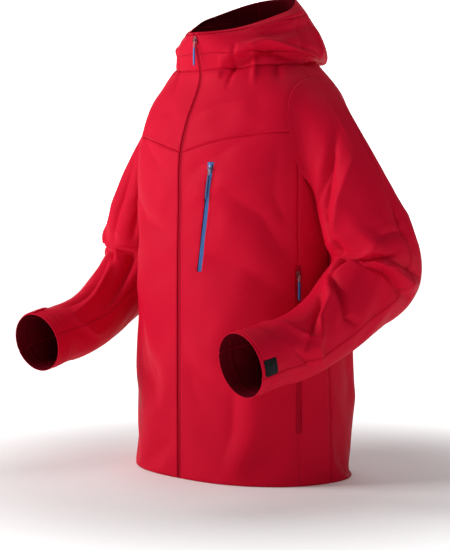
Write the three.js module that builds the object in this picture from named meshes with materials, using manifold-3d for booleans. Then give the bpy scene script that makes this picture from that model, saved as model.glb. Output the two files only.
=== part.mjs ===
// Hardshell jacket standing as worn, with both elbows bent: shell panels, relaxed hood, sleeves,
// zips with sliding pullers, cuff tabs and hem drawcord. Millimetres, +Z up, the wearer faces -Y
// and the wearer's left is +X. The origin is under the middle of the jacket, level with the hem.
import * as THREE from 'three';
import { LoftGeometry } from 'three/addons/geometries/LoftGeometry.js';
import { mergeVertices } from 'three/addons/utils/BufferGeometryUtils.js';
import Module from 'manifold-3d';

const wasm = await Module();
wasm.setup();

// Sizes shared by the whole jacket
const CLOTH = 2; // wall of a shell panel with its seam tape
const GAP = 0.3; // clearance between neighbouring pieces
const SEAM = GAP / 2;
const NECK_GAP = 0.35; // half the clearance at the neck seam, where the cloth turns sharply
const NECK = 640; // station of the neck seam
const RIM = 745; // station of the hood rim

// Level rings of the torso and hood, from hem to hood rim. "at" is the station along the cloth;
// half, front and back are the reaches from the axis; zFront, zSide and zBack are heights.
const RINGS = [
  { at: 0, half: 192, front: 145, back: 124, zFront: 0, zSide: 0, zBack: 0, squareF: 2.2, squareB: 2.2 },
  { at: 340, half: 187, front: 145, back: 119, zFront: 340, zSide: 340, zBack: 340, squareF: 2.2, squareB: 2.2 },
  { at: 420, half: 185, front: 143, back: 121, zFront: 420, zSide: 420, zBack: 420, squareF: 2.2, squareB: 2.2 },
  { at: 503, half: 186, front: 140, back: 125, zFront: 503, zSide: 503, zBack: 503, squareF: 2.2, squareB: 2.2 },
  { at: 555, half: 183, front: 125, back: 123, zFront: 554, zSide: 555, zBack: 556, squareF: 2.2, squareB: 2.2 },
  { at: 590, half: 172, front: 110, back: 117, zFront: 585, zSide: 590, zBack: 594, squareF: 2.2, squareB: 2.2 },
  { at: 610, half: 153, front: 102, back: 111, zFront: 603, zSide: 611, zBack: 617, squareF: 2.2, squareB: 2.2 },
  { at: 626, half: 129, front: 98, back: 104, zFront: 617, zSide: 628, zBack: 635, squareF: 2.2, squareB: 2.2 },
  { at: NECK, half: 100, front: 97, back: 95, zFront: 630, zSide: 643, zBack: 650, squareF: 2.1, squareB: 2 },
  { at: 652, half: 102, front: 102, back: 112, zFront: 650, zSide: 654, zBack: 651, squareF: 2, squareB: 2 },
  { at: 664, half: 109, front: 105, back: 142, zFront: 661, zSide: 659, zBack: 645, squareF: 2, squareB: 2 },
  { at: 680, half: 113, front: 108, back: 150, zFront: 671, zSide: 670, zBack: 662, squareF: 1.8, squareB: 2 },
  { at: 700, half: 107, front: 110, back: 139, zFront: 679, zSide: 694, zBack: 698, squareF: 1.6, squareB: 1.8 },
  { at: 725, half: 98, front: 111.5, back: 114, zFront: 685, zSide: 711, zBack: 734, squareF: 1.45, squareB: 1.6 },
  { at: RIM, half: 90, front: 112.5, back: 93, zFront: 688, zSide: 722, zBack: 757, squareF: 1.38, squareB: 1.45 },
];
const BODY_ROWS = [0, 170, 340, 380, 420, 465, 490, 540, 575, 605, 626, NECK];
const HOOD_ROWS = [NECK, 648, 657, 664, 680, 698, 714, RIM];
const COLUMN = 10; // degrees between the columns of a panel

// Seams, as angles round the body from the centre front or as stations
const ZIP_EDGE = 4.3; // half width of every zip slot
const SIDE_SEAM = 70; // front panel to side panel
const BACK_SEAM = 87; // side panel to back panel
const YOKE_FRONT = 503; // front yoke seam at the zip
const YOKE_RISE = 30; // its rise towards the armhole
const YOKE_BACK = 545;
const COLLAR_TOP = 657;
const HOOD_SEAM = 150; // hood side panel to centre strip
const BRIM_START = 124;
const BRIM_DEPTH = 22;

// Sleeve of the wearer's left arm; the right one mirrors it. across is the reach in line with
// the shoulders, along is the reach front to back.
const ELBOW = new THREE.Vector3(258, 18, 322);
const CUP_RADIUS = 66;
const BALL_RADIUS = CUP_RADIUS - CLOTH - 1.6;
const ARM_SIDES = 24;
const UPPER_RINGS = [
  { centre: new THREE.Vector3(110, 20, 575), across: 45, along: 45 },
  { centre: new THREE.Vector3(165, 14, 556), across: 62, along: 66 },
  { centre: new THREE.Vector3(201, 5, 506), across: 60, along: 72 },
  { centre: new THREE.Vector3(232, 0, 446), across: 58, along: 78 },
  { centre: new THREE.Vector3(248, 5, 385), across: 59, along: 73 },
  { centre: new THREE.Vector3(256, 13, 350), across: 64, along: 67 },
  { centre: ELBOW, across: CUP_RADIUS, along: CUP_RADIUS },
];
const FORE_RINGS = [
  { centre: ELBOW, across: BALL_RADIUS, along: BALL_RADIUS },
  { centre: new THREE.Vector3(254, -17, 297), across: 59, along: 60 },
  { centre: new THREE.Vector3(250, -52, 273), across: 53, along: 53 },
  { centre: new THREE.Vector3(245, -94, 248), across: 49, along: 49 },
  { centre: new THREE.Vector3(240, -135, 229), across: 47.5, along: 47.5 },
  { centre: new THREE.Vector3(234, -191, 213), across: 47.5, along: 47.5 },
  { centre: new THREE.Vector3(228, -243, 202), across: 47.5, along: 47.5 },
];
// Sectors round the elbow axis, measured from the upper arm towards the forearm
const CUP_START = 240;
const UPPER_END = 400;
const FORE_START = 72;
const BALL_END = 300;

// Zips
const TAPE_NEAR = CLOTH + 0.85; // depth of a zip tape behind the outer face of the cloth
const TAPE_THICK = 1;
const COIL_NEAR = TAPE_NEAR + TAPE_THICK + GAP;
const COIL_THICK = 1.5;
const LINING_NEAR = COIL_NEAR + COIL_THICK + GAP;
const LINING_THICK = 1.6;
const TAPE_HALF = 6;
const COIL_HALF = 2.6;
const STORM_FLAP_HALF = 17;
const MAIN_ZIP_FOOT = 5;
const MAIN_ZIP_TOP = 740;
const MAIN_SLIDER_AT = 692;
const CHEST_ZIP = { foot: 323, head: 486, footAngle: 16.4, headAngle: 24.3, bagFrom: 11, bagTo: 41 };
const HAND_ZIP = { foot: 131, head: 334, footAngle: SIDE_SEAM, headAngle: SIDE_SEAM, bagFrom: 45, bagTo: 73 };
const SLIDER_LENGTH = 12;
const SLIDER_HALF = 3.6;
const BRIDGE_RISE = 3.3; // height of the puller's hinge above the cloth

// Trim
const CORD_RADIUS = 1.3;
const CORD_HEIGHT = 9;
const TAB_WIDTH = 30;
const TAB_THICK = 1.6;
const TAB_FROM = 0; // sewn end and free end of a cuff tab, as angles round the cuff
const TAB_TO = 78;
const PATCH_TO = 108;

const RED = 0xc4102e;
const DEEP_RED = 0x8f0b22;
const BLUE = 0x1f63ad;
const BLACK = 0x141416;

const jacket = new THREE.Group();
jacket.name = 'hardshell_jacket';

function fabric(color = RED) {
  return new THREE.MeshStandardMaterial({ color, roughness: 0.72, metalness: 0 });
}
function plastic(color) {
  return new THREE.MeshStandardMaterial({ color, roughness: 0.45, metalness: 0 });
}
function paintedMetal(color) {
  return new THREE.MeshStandardMaterial({ color, roughness: 0.4, metalness: 0.6 });
}

function addMesh(name, geometry, material, parent = jacket) {
  const mesh = new THREE.Mesh(geometry, material);
  mesh.name = name;
  parent.add(mesh);
  return mesh;
}

// The same piece on the wearer's left and, mirrored, on the right
function addPair(name, geometry, material) {
  addMesh(name + '_left', geometry, material);
  addMesh(name + '_right', geometry, material).scale.x = -1;
}

// ---- Solids: join and cut ----

function toSolid(geometry) {
  const bare = new THREE.BufferGeometry().copy(geometry);
  bare.deleteAttribute('normal');
  bare.deleteAttribute('uv');
  const merged = mergeVertices(bare, 1e-4);
  const vertProperties = new Float32Array(merged.attributes.position.array);
  const triVerts = new Uint32Array(merged.index.array);
  return new wasm.Manifold(new wasm.Mesh({ numProp: 3, vertProperties, triVerts }));
}

function toGeometry(solid) {
  const mesh = solid.getMesh();
  const geometry = new THREE.BufferGeometry();
  geometry.setAttribute('position', new THREE.BufferAttribute(new Float32Array(mesh.vertProperties), 3));
  geometry.setIndex(new THREE.BufferAttribute(new Uint32Array(mesh.triVerts), 1));
  const faceted = geometry.toNonIndexed();
  faceted.computeVertexNormals();
  return faceted;
}

// Loft through closed sections; their winding is set from the direction of travel
function loft(sections) {
  const [first, second] = sections;
  const travel = centreOf(second).sub(centreOf(first));
  const wound = new THREE.Vector3();
  const middle = centreOf(first);
  first.forEach((point, i) => {
    const next = first[(i + 1) % first.length];
    wound.add(point.clone().sub(middle).cross(next.clone().sub(middle)));
  });
  const ordered = wound.dot(travel) < 0 ? sections.map((section) => [...section].reverse()) : sections;
  return new LoftGeometry(ordered, { closed: true, capStart: true, capEnd: true });
}

function centreOf(points) {
  return points.reduce((sum, point) => sum.add(point), new THREE.Vector3()).divideScalar(points.length);
}

// ---- The surface of the torso and hood ----

const RING_KEYS = Object.keys(RINGS[0]).filter((key) => key !== 'at');
const ringCurve = new THREE.CubicInterpolant(
  RINGS.map((ring) => ring.at),
  RINGS.flatMap((ring) => RING_KEYS.map((key) => ring[key])),
  RING_KEYS.length,
);

function ringPoint(degrees, at) {
  const values = ringCurve.evaluate(at);
  const ring = Object.fromEntries(RING_KEYS.map((key, i) => [key, values[i]]));
  const angle = THREE.MathUtils.degToRad(degrees);
  const side = Math.sin(angle);
  const ahead = Math.cos(angle);
  const reach = ahead > 0 ? ring.front : ring.back;
  const square = ahead > 0 ? ring.squareF : ring.squareB;
  const radius =
    (Math.abs(side / ring.half) ** square + Math.abs(ahead / reach) ** square) ** (-1 / square);
  const bow = (ring.zFront + ring.zBack - 2 * ring.zSide) / 4;
  const z = ring.zSide + bow + ((ring.zFront - ring.zBack) / 2) * ahead + bow * Math.cos(2 * angle);
  return new THREE.Vector3(radius * side, -radius * ahead, z);
}

function surfaceNormal(degrees, at) {
  const across = ringPoint(degrees + 0.6, at).sub(ringPoint(degrees - 0.6, at));
  const along = ringPoint(degrees, Math.min(at + 1.5, RIM)).sub(ringPoint(degrees, Math.max(at - 1.5, 0)));
  return across.cross(along).normalize();
}

// Point below the outer face by depth; the hem edge stays level
function surfacePoint(degrees, at, depth = 0) {
  const outer = ringPoint(degrees, at);
  const point = outer.clone().addScaledVector(surfaceNormal(degrees, at), -depth);
  if (at <= 0) point.z = outer.z;
  return point;
}

// Angle of a line that keeps a set distance from the centre front
function edgeAngle(at, distance = ZIP_EDGE) {
  return THREE.MathUtils.radToDeg(Math.asin(distance / -ringPoint(0, at).y));
}

// Seam clearance as an angle at this height
function seamAngle(at) {
  return THREE.MathUtils.radToDeg(SEAM / ringPoint(90, at).x);
}

// A panel of cloth between two edges (angles at a station) and two ends (stations at an angle).
// Its columns stand at whole steps round the body, so that neighbouring panels match, or, with
// a count given, at equal shares between the edges.
function panel({ rows, left, right, low, high, count = 0, near = 0, thick = CLOTH }) {
  const foot = rows[0];
  const head = rows[rows.length - 1];
  const columns = [left];
  for (let i = 1; i < count; i += 1) {
    columns.push((row) => THREE.MathUtils.lerp(left(row), right(row), i / count));
  }
  for (let step = COLUMN; count === 0 && step < 360; step += COLUMN) {
    if (step > left(foot) + 2 && step < right(foot) - 2) columns.push(() => step);
  }
  columns.push(right);
  const sections = columns.map((angleAt) => {
    const spots = rows.map((row) => {
      const degrees = angleAt(row);
      if (row === foot) return [degrees, low(degrees)];
      return [degrees, row === head ? high(degrees) : row];
    });
    const outer = spots.map(([degrees, at]) => surfacePoint(degrees, at, near));
    const under = spots.map(([degrees, at]) => surfacePoint(degrees, at, near + thick));
    return [...outer, ...under.reverse()];
  });
  return loft(sections);
}

function rowsBetween(rows, low, high) {
  return [low, ...rows.filter((at) => at > low + 6 && at < high - 6), high];
}

// Strip that follows the surface at a depth, such as a zip tape
function surfaceStrip(stations, angleAt, halfWidth, near, thick) {
  const places = stations.map((at) => {
    const degrees = angleAt(at);
    return { point: ringPoint(degrees, at), outward: surfaceNormal(degrees, at) };
  });
  const sections = places.map(({ point, outward }, i) => {
    const before = places[Math.max(i - 1, 0)].point;
    const after = places[Math.min(i + 1, places.length - 1)].point;
    const across = after.clone().sub(before).cross(outward).normalize();
    const corner = (side, depth) =>
      point.clone().addScaledVector(across, side * halfWidth).addScaledVector(outward, -depth);
    return [corner(-1, near), corner(1, near), corner(1, near + thick), corner(-1, near + thick)];
  });
  return loft(sections);
}

// ---- Sleeves ----

const UPPER_AXIS = UPPER_RINGS.at(-2).centre.clone().sub(ELBOW).normalize();
const FORE_AXIS = FORE_RINGS[2].centre.clone().sub(ELBOW).normalize();
const HINGE_AXIS = UPPER_AXIS.clone().cross(FORE_AXIS).normalize();
const BEND = THREE.MathUtils.radToDeg(UPPER_AXIS.angleTo(FORE_AXIS));
const SHOULDER = UPPER_RINGS[1].centre;

function armSection(centre, tangent, across, along) {
  const sideways = new THREE.Vector3(1, 0, 0).projectOnPlane(tangent).normalize();
  const forward = tangent.clone().cross(sideways);
  const points = [];
  for (let i = 0; i < ARM_SIDES; i += 1) {
    const angle = (i / ARM_SIDES) * Math.PI * 2;
    points.push(
      centre
        .clone()
        .addScaledVector(sideways, across * Math.cos(angle))
        .addScaledVector(forward, along * Math.sin(angle)),
    );
  }
  return points;
}

// Half ball that closes a sleeve tube behind the elbow, as shrinking sections
function domeSections(radius, direction) {
  const sections = [];
  for (const degrees of [15, 30, 45, 60, 75, 88]) {
    const lift = THREE.MathUtils.degToRad(degrees);
    const centre = ELBOW.clone().addScaledVector(direction, radius * Math.sin(lift));
    sections.push(armSection(centre, direction, radius * Math.cos(lift), radius * Math.cos(lift)));
  }
  return sections;
}

function upperSolid(offset) {
  const curve = new THREE.CatmullRomCurve3(UPPER_RINGS.map((ring) => ring.centre));
  const last = UPPER_RINGS.length - 1;
  const away = UPPER_AXIS.clone().negate();
  const sections = UPPER_RINGS.map((ring, i) => {
    const tangent = i === last ? away : curve.getTangent(i / last);
    return armSection(ring.centre, tangent, ring.across + offset, ring.along + offset);
  });
  return toSolid(loft([...sections, ...domeSections(CUP_RADIUS + offset, away)]));
}

function foreSolid(offset, reachPastCuff = 0) {
  const curve = new THREE.CatmullRomCurve3(FORE_RINGS.map((ring) => ring.centre));
  const last = FORE_RINGS.length - 1;
  const sections = FORE_RINGS.map((ring, i) => {
    const tangent = i === 0 ? FORE_AXIS : curve.getTangent(i / last);
    const centre = ring.centre.clone().addScaledVector(tangent, i === last ? reachPastCuff : 0);
    return armSection(centre, tangent, ring.across + offset, ring.along + offset);
  });
  const back = FORE_AXIS.clone().negate();
  const dome = domeSections(BALL_RADIUS + offset, back).reverse();
  return toSolid(loft([...dome.map((section) => [...section].reverse()), ...sections]));
}

// Wedge round the elbow axis between two angles, its point moved off the axis by SEAM
function elbowSector(from, to, shiftAngle) {
  const forward = HINGE_AXIS.clone().cross(UPPER_AXIS);
  const onPlane = (degrees) => {
    const angle = THREE.MathUtils.degToRad(degrees);
    return new THREE.Vector2(Math.cos(angle), Math.sin(angle));
  };
  const tip = onPlane(shiftAngle).multiplyScalar(SEAM);
  const steps = Math.ceil((to - from) / 40);
  const outline = [tip.clone()];
  for (let i = 0; i <= steps; i += 1) {
    outline.push(onPlane(THREE.MathUtils.lerp(from, to, i / steps)).multiplyScalar(700).add(tip));
  }
  const halfDepth = 260;
  const wedge = new THREE.ExtrudeGeometry(new THREE.Shape(outline), {
    depth: 2 * halfDepth,
    bevelEnabled: false,
  });
  wedge.translate(0, 0, -halfDepth);
  wedge.applyMatrix4(new THREE.Matrix4().makeBasis(UPPER_AXIS, forward, HINGE_AXIS).setPosition(ELBOW));
  return toSolid(wedge);
}

function torsoSolid(grow) {
  const sections = BODY_ROWS.map((at) => {
    const points = [];
    for (let degrees = 0; degrees < 360; degrees += 6) points.push(surfacePoint(degrees, at, -grow));
    return points;
  });
  return toSolid(loft(sections));
}

function addSleeves() {
  const shoulderAngle = -THREE.MathUtils.radToDeg(
    UPPER_AXIS.angleTo(SHOULDER.clone().sub(ELBOW).projectOnPlane(HINGE_AXIS)),
  );
  const upper = upperSolid(0).subtract(upperSolid(-CLOTH)).subtract(torsoSolid(GAP));
  const fore = foreSolid(0).subtract(foreSolid(-CLOTH, 12));
  const pieces = [
    ['sleeve_upper_front', upper, shoulderAngle, UPPER_END - 360, shoulderAngle + 90],
    ['sleeve_upper_back', upper, CUP_START - 360, shoulderAngle, shoulderAngle - 90],
    ['forearm_inner', fore, FORE_START, BEND, BEND - 90],
    ['forearm_outer', fore, BEND, BALL_END, BEND + 90],
  ];
  for (const [name, shell, from, to, shift] of pieces) {
    const piece = shell.intersect(elbowSector(from, to, shift));
    addPair(name, toGeometry(largestPart(piece)), fabric());
  }
}

function largestPart(solid) {
  return solid.decompose().sort((a, b) => b.volume() - a.volume())[0];
}

// ---- Torso panels ----

function yokeSeam(degrees) {
  return YOKE_FRONT + YOKE_RISE * Math.sin(THREE.MathUtils.degToRad(Math.min(degrees * 1.3, 90)));
}

function zipSlot({ foot, head, footAngle, headAngle }) {
  const angleAt = (at) => THREE.MathUtils.mapLinear(at, foot, head, footAngle, headAngle);
  const middle = (foot + head) / 2;
  return toSolid(surfaceStrip([foot, middle, head], angleAt, ZIP_EDGE, -6, 14));
}

function addTorsoPanels() {
  const armhole = upperSolid(GAP);
  const handSlot = zipSlot(HAND_ZIP);
  const chestSlot = zipSlot(CHEST_ZIP);
  const front = panel({
    rows: rowsBetween(BODY_ROWS, 0, YOKE_FRONT),
    left: edgeAngle,
    right: (at) => SIDE_SEAM - seamAngle(at),
    low: () => 0,
    high: (degrees) => yokeSeam(degrees) - SEAM,
  });
  const yoke = panel({
    rows: rowsBetween(BODY_ROWS, YOKE_FRONT, NECK),
    left: edgeAngle,
    right: (at) => 90 - seamAngle(at),
    low: (degrees) => yokeSeam(degrees) + SEAM,
    high: () => NECK - NECK_GAP,
  });
  const side = panel({
    rows: rowsBetween(BODY_ROWS, 0, YOKE_FRONT),
    left: (at) => SIDE_SEAM + seamAngle(at),
    right: (at) => BACK_SEAM - seamAngle(at),
    low: () => 0,
    high: (degrees) => yokeSeam(degrees) - SEAM,
    count: 3,
  });
  const back = panel({
    rows: rowsBetween(BODY_ROWS, 0, YOKE_BACK),
    left: (at) => BACK_SEAM + seamAngle(at),
    right: (at) => 360 - BACK_SEAM - seamAngle(at),
    low: () => 0,
    high: () => YOKE_BACK - SEAM,
  });
  const backYoke = panel({
    rows: rowsBetween(BODY_ROWS, YOKE_BACK, NECK),
    left: (at) => 90 + seamAngle(at),
    right: (at) => 270 - seamAngle(at),
    low: () => YOKE_BACK + SEAM,
    high: () => NECK - NECK_GAP,
  });
  const bothArmholes = armhole.add(armhole.mirror([1, 0, 0]));
  const openFront = toSolid(front).subtract(armhole).subtract(handSlot);
  addMesh('front_panel_left', toGeometry(openFront.subtract(chestSlot)), fabric());
  addMesh('front_panel_right', toGeometry(openFront), fabric()).scale.x = -1;
  addPair('front_yoke', toGeometry(largestPart(toSolid(yoke).subtract(armhole))), fabric());
  addPair('side_panel', toGeometry(largestPart(toSolid(side).subtract(armhole).subtract(handSlot))), fabric());
  addMesh('back_panel', toGeometry(largestPart(toSolid(back).subtract(bothArmholes))), fabric());
  addMesh('back_yoke', toGeometry(largestPart(toSolid(backYoke).subtract(bothArmholes))), fabric());
}

// ---- Collar and hood ----

function brimSeam(degrees) {
  const fromBack = 180 - Math.abs(180 - degrees);
  return RIM - BRIM_DEPTH * THREE.MathUtils.smoothstep(fromBack, BRIM_START - 8, BRIM_START + 40);
}

function addHood() {
  const collar = panel({
    rows: [NECK, 648, COLLAR_TOP],
    left: edgeAngle,
    right: (at) => HOOD_SEAM - 2 * seamAngle(at),
    low: () => NECK + NECK_GAP,
    high: () => COLLAR_TOP - SEAM,
  });
  const hoodSide = panel({
    rows: rowsBetween(HOOD_ROWS, COLLAR_TOP, RIM),
    left: edgeAngle,
    right: (at) => HOOD_SEAM - 2 * seamAngle(at),
    low: () => COLLAR_TOP + SEAM,
    high: (degrees) => (degrees < BRIM_START - 8 ? RIM : brimSeam(degrees) - SEAM),
  });
  const centre = panel({
    rows: rowsBetween(HOOD_ROWS, NECK, RIM),
    left: (at) => HOOD_SEAM + 2 * seamAngle(at),
    right: (at) => 360 - HOOD_SEAM - 2 * seamAngle(at),
    low: () => NECK + NECK_GAP,
    high: (degrees) => brimSeam(degrees) - SEAM,
  });
  const brim = panel({
    rows: [RIM - BRIM_DEPTH, RIM],
    left: () => BRIM_START,
    right: () => 360 - BRIM_START,
    low: (degrees) => brimSeam(degrees) + SEAM,
    high: () => RIM,
  });
  addPair('collar', collar, fabric());
  addPair('hood_side', hoodSide, fabric());
  addMesh('hood_centre', centre, fabric());
  addMesh('hood_brim', brim, fabric());
}

// ---- Zips ----

const MAIN_STATIONS = [MAIN_ZIP_FOOT, ...BODY_ROWS.slice(1), ...HOOD_ROWS.slice(1, -1), MAIN_ZIP_TOP];

function addMainZip() {
  const band = (from, to, count, near, thick) =>
    panel({
      rows: MAIN_STATIONS,
      left: (at) => edgeAngle(at, from),
      right: (at) => edgeAngle(at, to),
      low: () => MAIN_ZIP_FOOT,
      high: () => MAIN_ZIP_TOP,
      count,
      near,
      thick,
    });
  addPair('main_zip_tape', band(SEAM, TAPE_HALF, 1, TAPE_NEAR, TAPE_THICK), fabric(DEEP_RED));
  addMesh('main_zip_coil', band(-COIL_HALF, COIL_HALF, 2, COIL_NEAR, COIL_THICK), plastic(DEEP_RED));
  const flap = band(-STORM_FLAP_HALF, STORM_FLAP_HALF, 4, LINING_NEAR, LINING_THICK);
  addMesh('storm_flap', flap, fabric(DEEP_RED));
  const box = new THREE.BoxGeometry(2 * (ZIP_EDGE - GAP), 1.9, 9);
  const foot = ringPoint(0, 8);
  box.translate(0, foot.y + 1.2, 8);
  addMesh('main_zip_foot_box', box, plastic(DEEP_RED));
}

function addPocketZip(name, zip, side, color) {
  const angleAt = (at) => THREE.MathUtils.mapLinear(at, zip.foot, zip.head, zip.footAngle, zip.headAngle);
  const stations = rowsBetween(BODY_ROWS, zip.foot - 4, zip.head + 4);
  const tape = surfaceStrip(stations, angleAt, TAPE_HALF, TAPE_NEAR, TAPE_THICK);
  const coil = surfaceStrip(stations, angleAt, COIL_HALF, COIL_NEAR, COIL_THICK);
  const bag = panel({
    rows: rowsBetween(BODY_ROWS, zip.foot - 8, zip.head + 8),
    left: () => zip.bagFrom,
    right: () => zip.bagTo,
    low: () => zip.foot - 8,
    high: () => zip.head + 8,
    near: LINING_NEAR,
    thick: LINING_THICK,
  });
  for (const [piece, geometry, material] of [
    ['tape', tape, fabric(color)],
    ['coil', coil, plastic(color)],
    ['bag', bag, fabric(DEEP_RED)],
  ]) {
    addMesh(`${name}_${piece}`, geometry, material).scale.x = side;
  }
}

// Slider body with two cheeks and the bar that the puller turns on; its own frame has +Y along
// the zip and +Z away from the cloth
function sliderGeometry() {
  const plan = new THREE.Shape([
    new THREE.Vector2(-SLIDER_HALF * 0.75, -SLIDER_LENGTH / 2),
    new THREE.Vector2(SLIDER_HALF * 0.75, -SLIDER_LENGTH / 2),
    new THREE.Vector2(SLIDER_HALF, SLIDER_LENGTH / 2 - 2),
    new THREE.Vector2(SLIDER_HALF * 0.6, SLIDER_LENGTH / 2),
    new THREE.Vector2(-SLIDER_HALF * 0.6, SLIDER_LENGTH / 2),
    new THREE.Vector2(-SLIDER_HALF, SLIDER_LENGTH / 2 - 2),
  ]);
  const base = new THREE.ExtrudeGeometry(plan, { depth: 2.7, bevelEnabled: false }).translate(0, 0, -1.7);
  const cheek = new THREE.BoxGeometry(1, 3.2, 3.5).translate(2.6, 0, 2.65);
  const bar = new THREE.CylinderGeometry(0.6, 0.6, 5, 8).rotateZ(Math.PI / 2).translate(0, 0, BRIDGE_RISE);
  const body = toSolid(base).add(toSolid(cheek)).add(toSolid(cheek.translate(-5.2, 0, 0)));
  return toGeometry(body.add(toSolid(bar)));
}

// Puller with an eye round the slider's bar, a thin strap and a thicker grip, hanging down -Y
function pullerGeometry(length) {
  const outline = new THREE.Shape();
  outline.moveTo(0.8, -1.7);
  outline.absarc(0, 0, 1.9, -1.13, Math.PI + 1.13, false);
  outline.lineTo(-0.8, -length * 0.45);
  outline.lineTo(-1.5, -length * 0.5);
  outline.lineTo(-1.5, -length + 1.5);
  outline.lineTo(-0.7, -length);
  outline.lineTo(0.7, -length);
  outline.lineTo(1.5, -length + 1.5);
  outline.lineTo(1.5, -length * 0.5);
  outline.lineTo(0.8, -length * 0.45);
  outline.closePath();
  outline.holes.push(new THREE.Path().absarc(0, 0, 1, 0, Math.PI * 2, true));
  const width = 3.4;
  const puller = new THREE.ExtrudeGeometry(outline, { depth: width, bevelEnabled: false, curveSegments: 8 });
  return puller.rotateY(-Math.PI / 2).translate(width / 2, 0, 0);
}

// Slider and puller at a station of a zip; hang tips the puller so that it drops plumb
function addSlider(name, at, angleAt, side, length, color, hang = 0) {
  const point = ringPoint(angleAt(at), at);
  const outward = surfaceNormal(angleAt(at), at);
  const ahead = ringPoint(angleAt(at + 4), at + 4).sub(ringPoint(angleAt(at - 4), at - 4));
  const along = ahead.projectOnPlane(outward).normalize();
  const across = along.clone().cross(outward);
  const holder = new THREE.Group();
  holder.applyMatrix4(new THREE.Matrix4().makeBasis(across, along, outward).setPosition(point));
  const sided = new THREE.Group();
  sided.scale.x = side;
  sided.add(holder);
  jacket.add(sided);
  addMesh(name + '_slider', sliderGeometry(), paintedMetal(color), holder);
  const puller = addMesh(name + '_puller', pullerGeometry(length), plastic(BLUE), holder);
  puller.position.z = BRIDGE_RISE;
  puller.rotation.x = -hang;
}

function addZips() {
  addMainZip();
  addPocketZip('chest_zip', CHEST_ZIP, 1, BLUE);
  addPocketZip('hand_zip_left', HAND_ZIP, 1, RED);
  addPocketZip('hand_zip_right', HAND_ZIP, -1, RED);
  const chestAngle = (at) =>
    THREE.MathUtils.mapLinear(at, CHEST_ZIP.foot, CHEST_ZIP.head, CHEST_ZIP.footAngle, CHEST_ZIP.headAngle);
  const slope = surfaceNormal(0, MAIN_SLIDER_AT);
  addSlider('main_zip', MAIN_SLIDER_AT, () => 0, 1, 38, DEEP_RED, Math.asin(-slope.z));
  addSlider('chest_zip', CHEST_ZIP.head - 8, chestAngle, 1, 46, 0x173f78);
  addSlider('hand_zip_left', HAND_ZIP.head - 14, () => SIDE_SEAM, 1, 38, DEEP_RED);
  addSlider('hand_zip_right', HAND_ZIP.head - 14, () => SIDE_SEAM, -1, 38, DEEP_RED);
}

// ---- Cuffs ----

const CUFF = FORE_RINGS.at(-1);
const CUFF_AXIS = CUFF.centre.clone().sub(FORE_RINGS.at(-2).centre).normalize();

// Band round the cuff between two angles, 0 on top and 90 on the outer side
function cuffBand(from, to, edge, width, near, thick) {
  const top = new THREE.Vector3(0, 0, 1).projectOnPlane(CUFF_AXIS).normalize();
  const outer = top.clone().cross(CUFF_AXIS);
  const steps = Math.ceil((to - from) / 12);
  const sections = [];
  for (let i = 0; i <= steps; i += 1) {
    const angle = THREE.MathUtils.degToRad(THREE.MathUtils.lerp(from, to, i / steps));
    const away = top.clone().multiplyScalar(Math.cos(angle)).addScaledVector(outer, Math.sin(angle));
    const corner = (back, reach) =>
      CUFF.centre.clone().addScaledVector(CUFF_AXIS, -back).addScaledVector(away, CUFF.across + reach);
    sections.push([
      corner(edge, near),
      corner(edge + width, near),
      corner(edge + width, near + thick),
      corner(edge, near + thick),
    ]);
  }
  return loft(sections);
}

function addCuffs() {
  addPair('cuff_tab', cuffBand(TAB_FROM, TAB_TO, 4, TAB_WIDTH, GAP, TAB_THICK), fabric());
  addPair('cuff_patch', cuffBand(TAB_TO + 1, PATCH_TO, 5, TAB_WIDTH - 8, GAP, 1.2), fabric(BLACK));
}

// ---- Hem and neck trim ----

function addHemCord() {
  const depth = CLOTH + GAP + CORD_RADIUS;
  const clear = 24; // the cord starts and ends beside the zip facing
  const start = edgeAngle(0, clear);
  const points = [];
  for (let i = 0; i <= 36; i += 1) {
    const degrees = THREE.MathUtils.lerp(start, 360 - start, i / 36);
    points.push(surfacePoint(degrees, CORD_HEIGHT, depth + 1).setZ(CORD_HEIGHT));
  }
  const path = new THREE.CatmullRomCurve3(points);
  const round = new THREE.Shape().absarc(0, 0, CORD_RADIUS, 0, Math.PI * 2, false);
  const cord = new THREE.ExtrudeGeometry(round, { steps: 60, extrudePath: path, curveSegments: 3 });
  addMesh('hem_cord', cord, fabric(BLACK));
}

// Cord lock above the hem cord: a small barrel with a sprung button in its top
function addCordLocks() {
  const barrel = new THREE.LatheGeometry(
    [[0, -7], [4.6, -7], [5, -6], [5, 6], [3.1, 6], [3.1, -3], [0, -3]].map(([r, y]) => new THREE.Vector2(r, y)),
    12,
  ).rotateX(Math.PI / 2);
  const button = new THREE.CylinderGeometry(2.7, 2.7, 10, 12).rotateX(Math.PI / 2).translate(0, 0, 5.5);
  for (const [label, side] of [['left', 1], ['right', -1]]) {
    const place = surfacePoint(50, CORD_HEIGHT + 12, CLOTH + GAP + 5.3);
    const lock = new THREE.Group();
    lock.position.set(side * place.x, place.y, CORD_HEIGHT + CORD_RADIUS + GAP + 7);
    jacket.add(lock);
    addMesh(`hem_cord_lock_${label}`, barrel, plastic(BLACK), lock);
    addMesh(`hem_lock_button_${label}`, button, plastic(BLACK), lock);
  }
}

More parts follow.
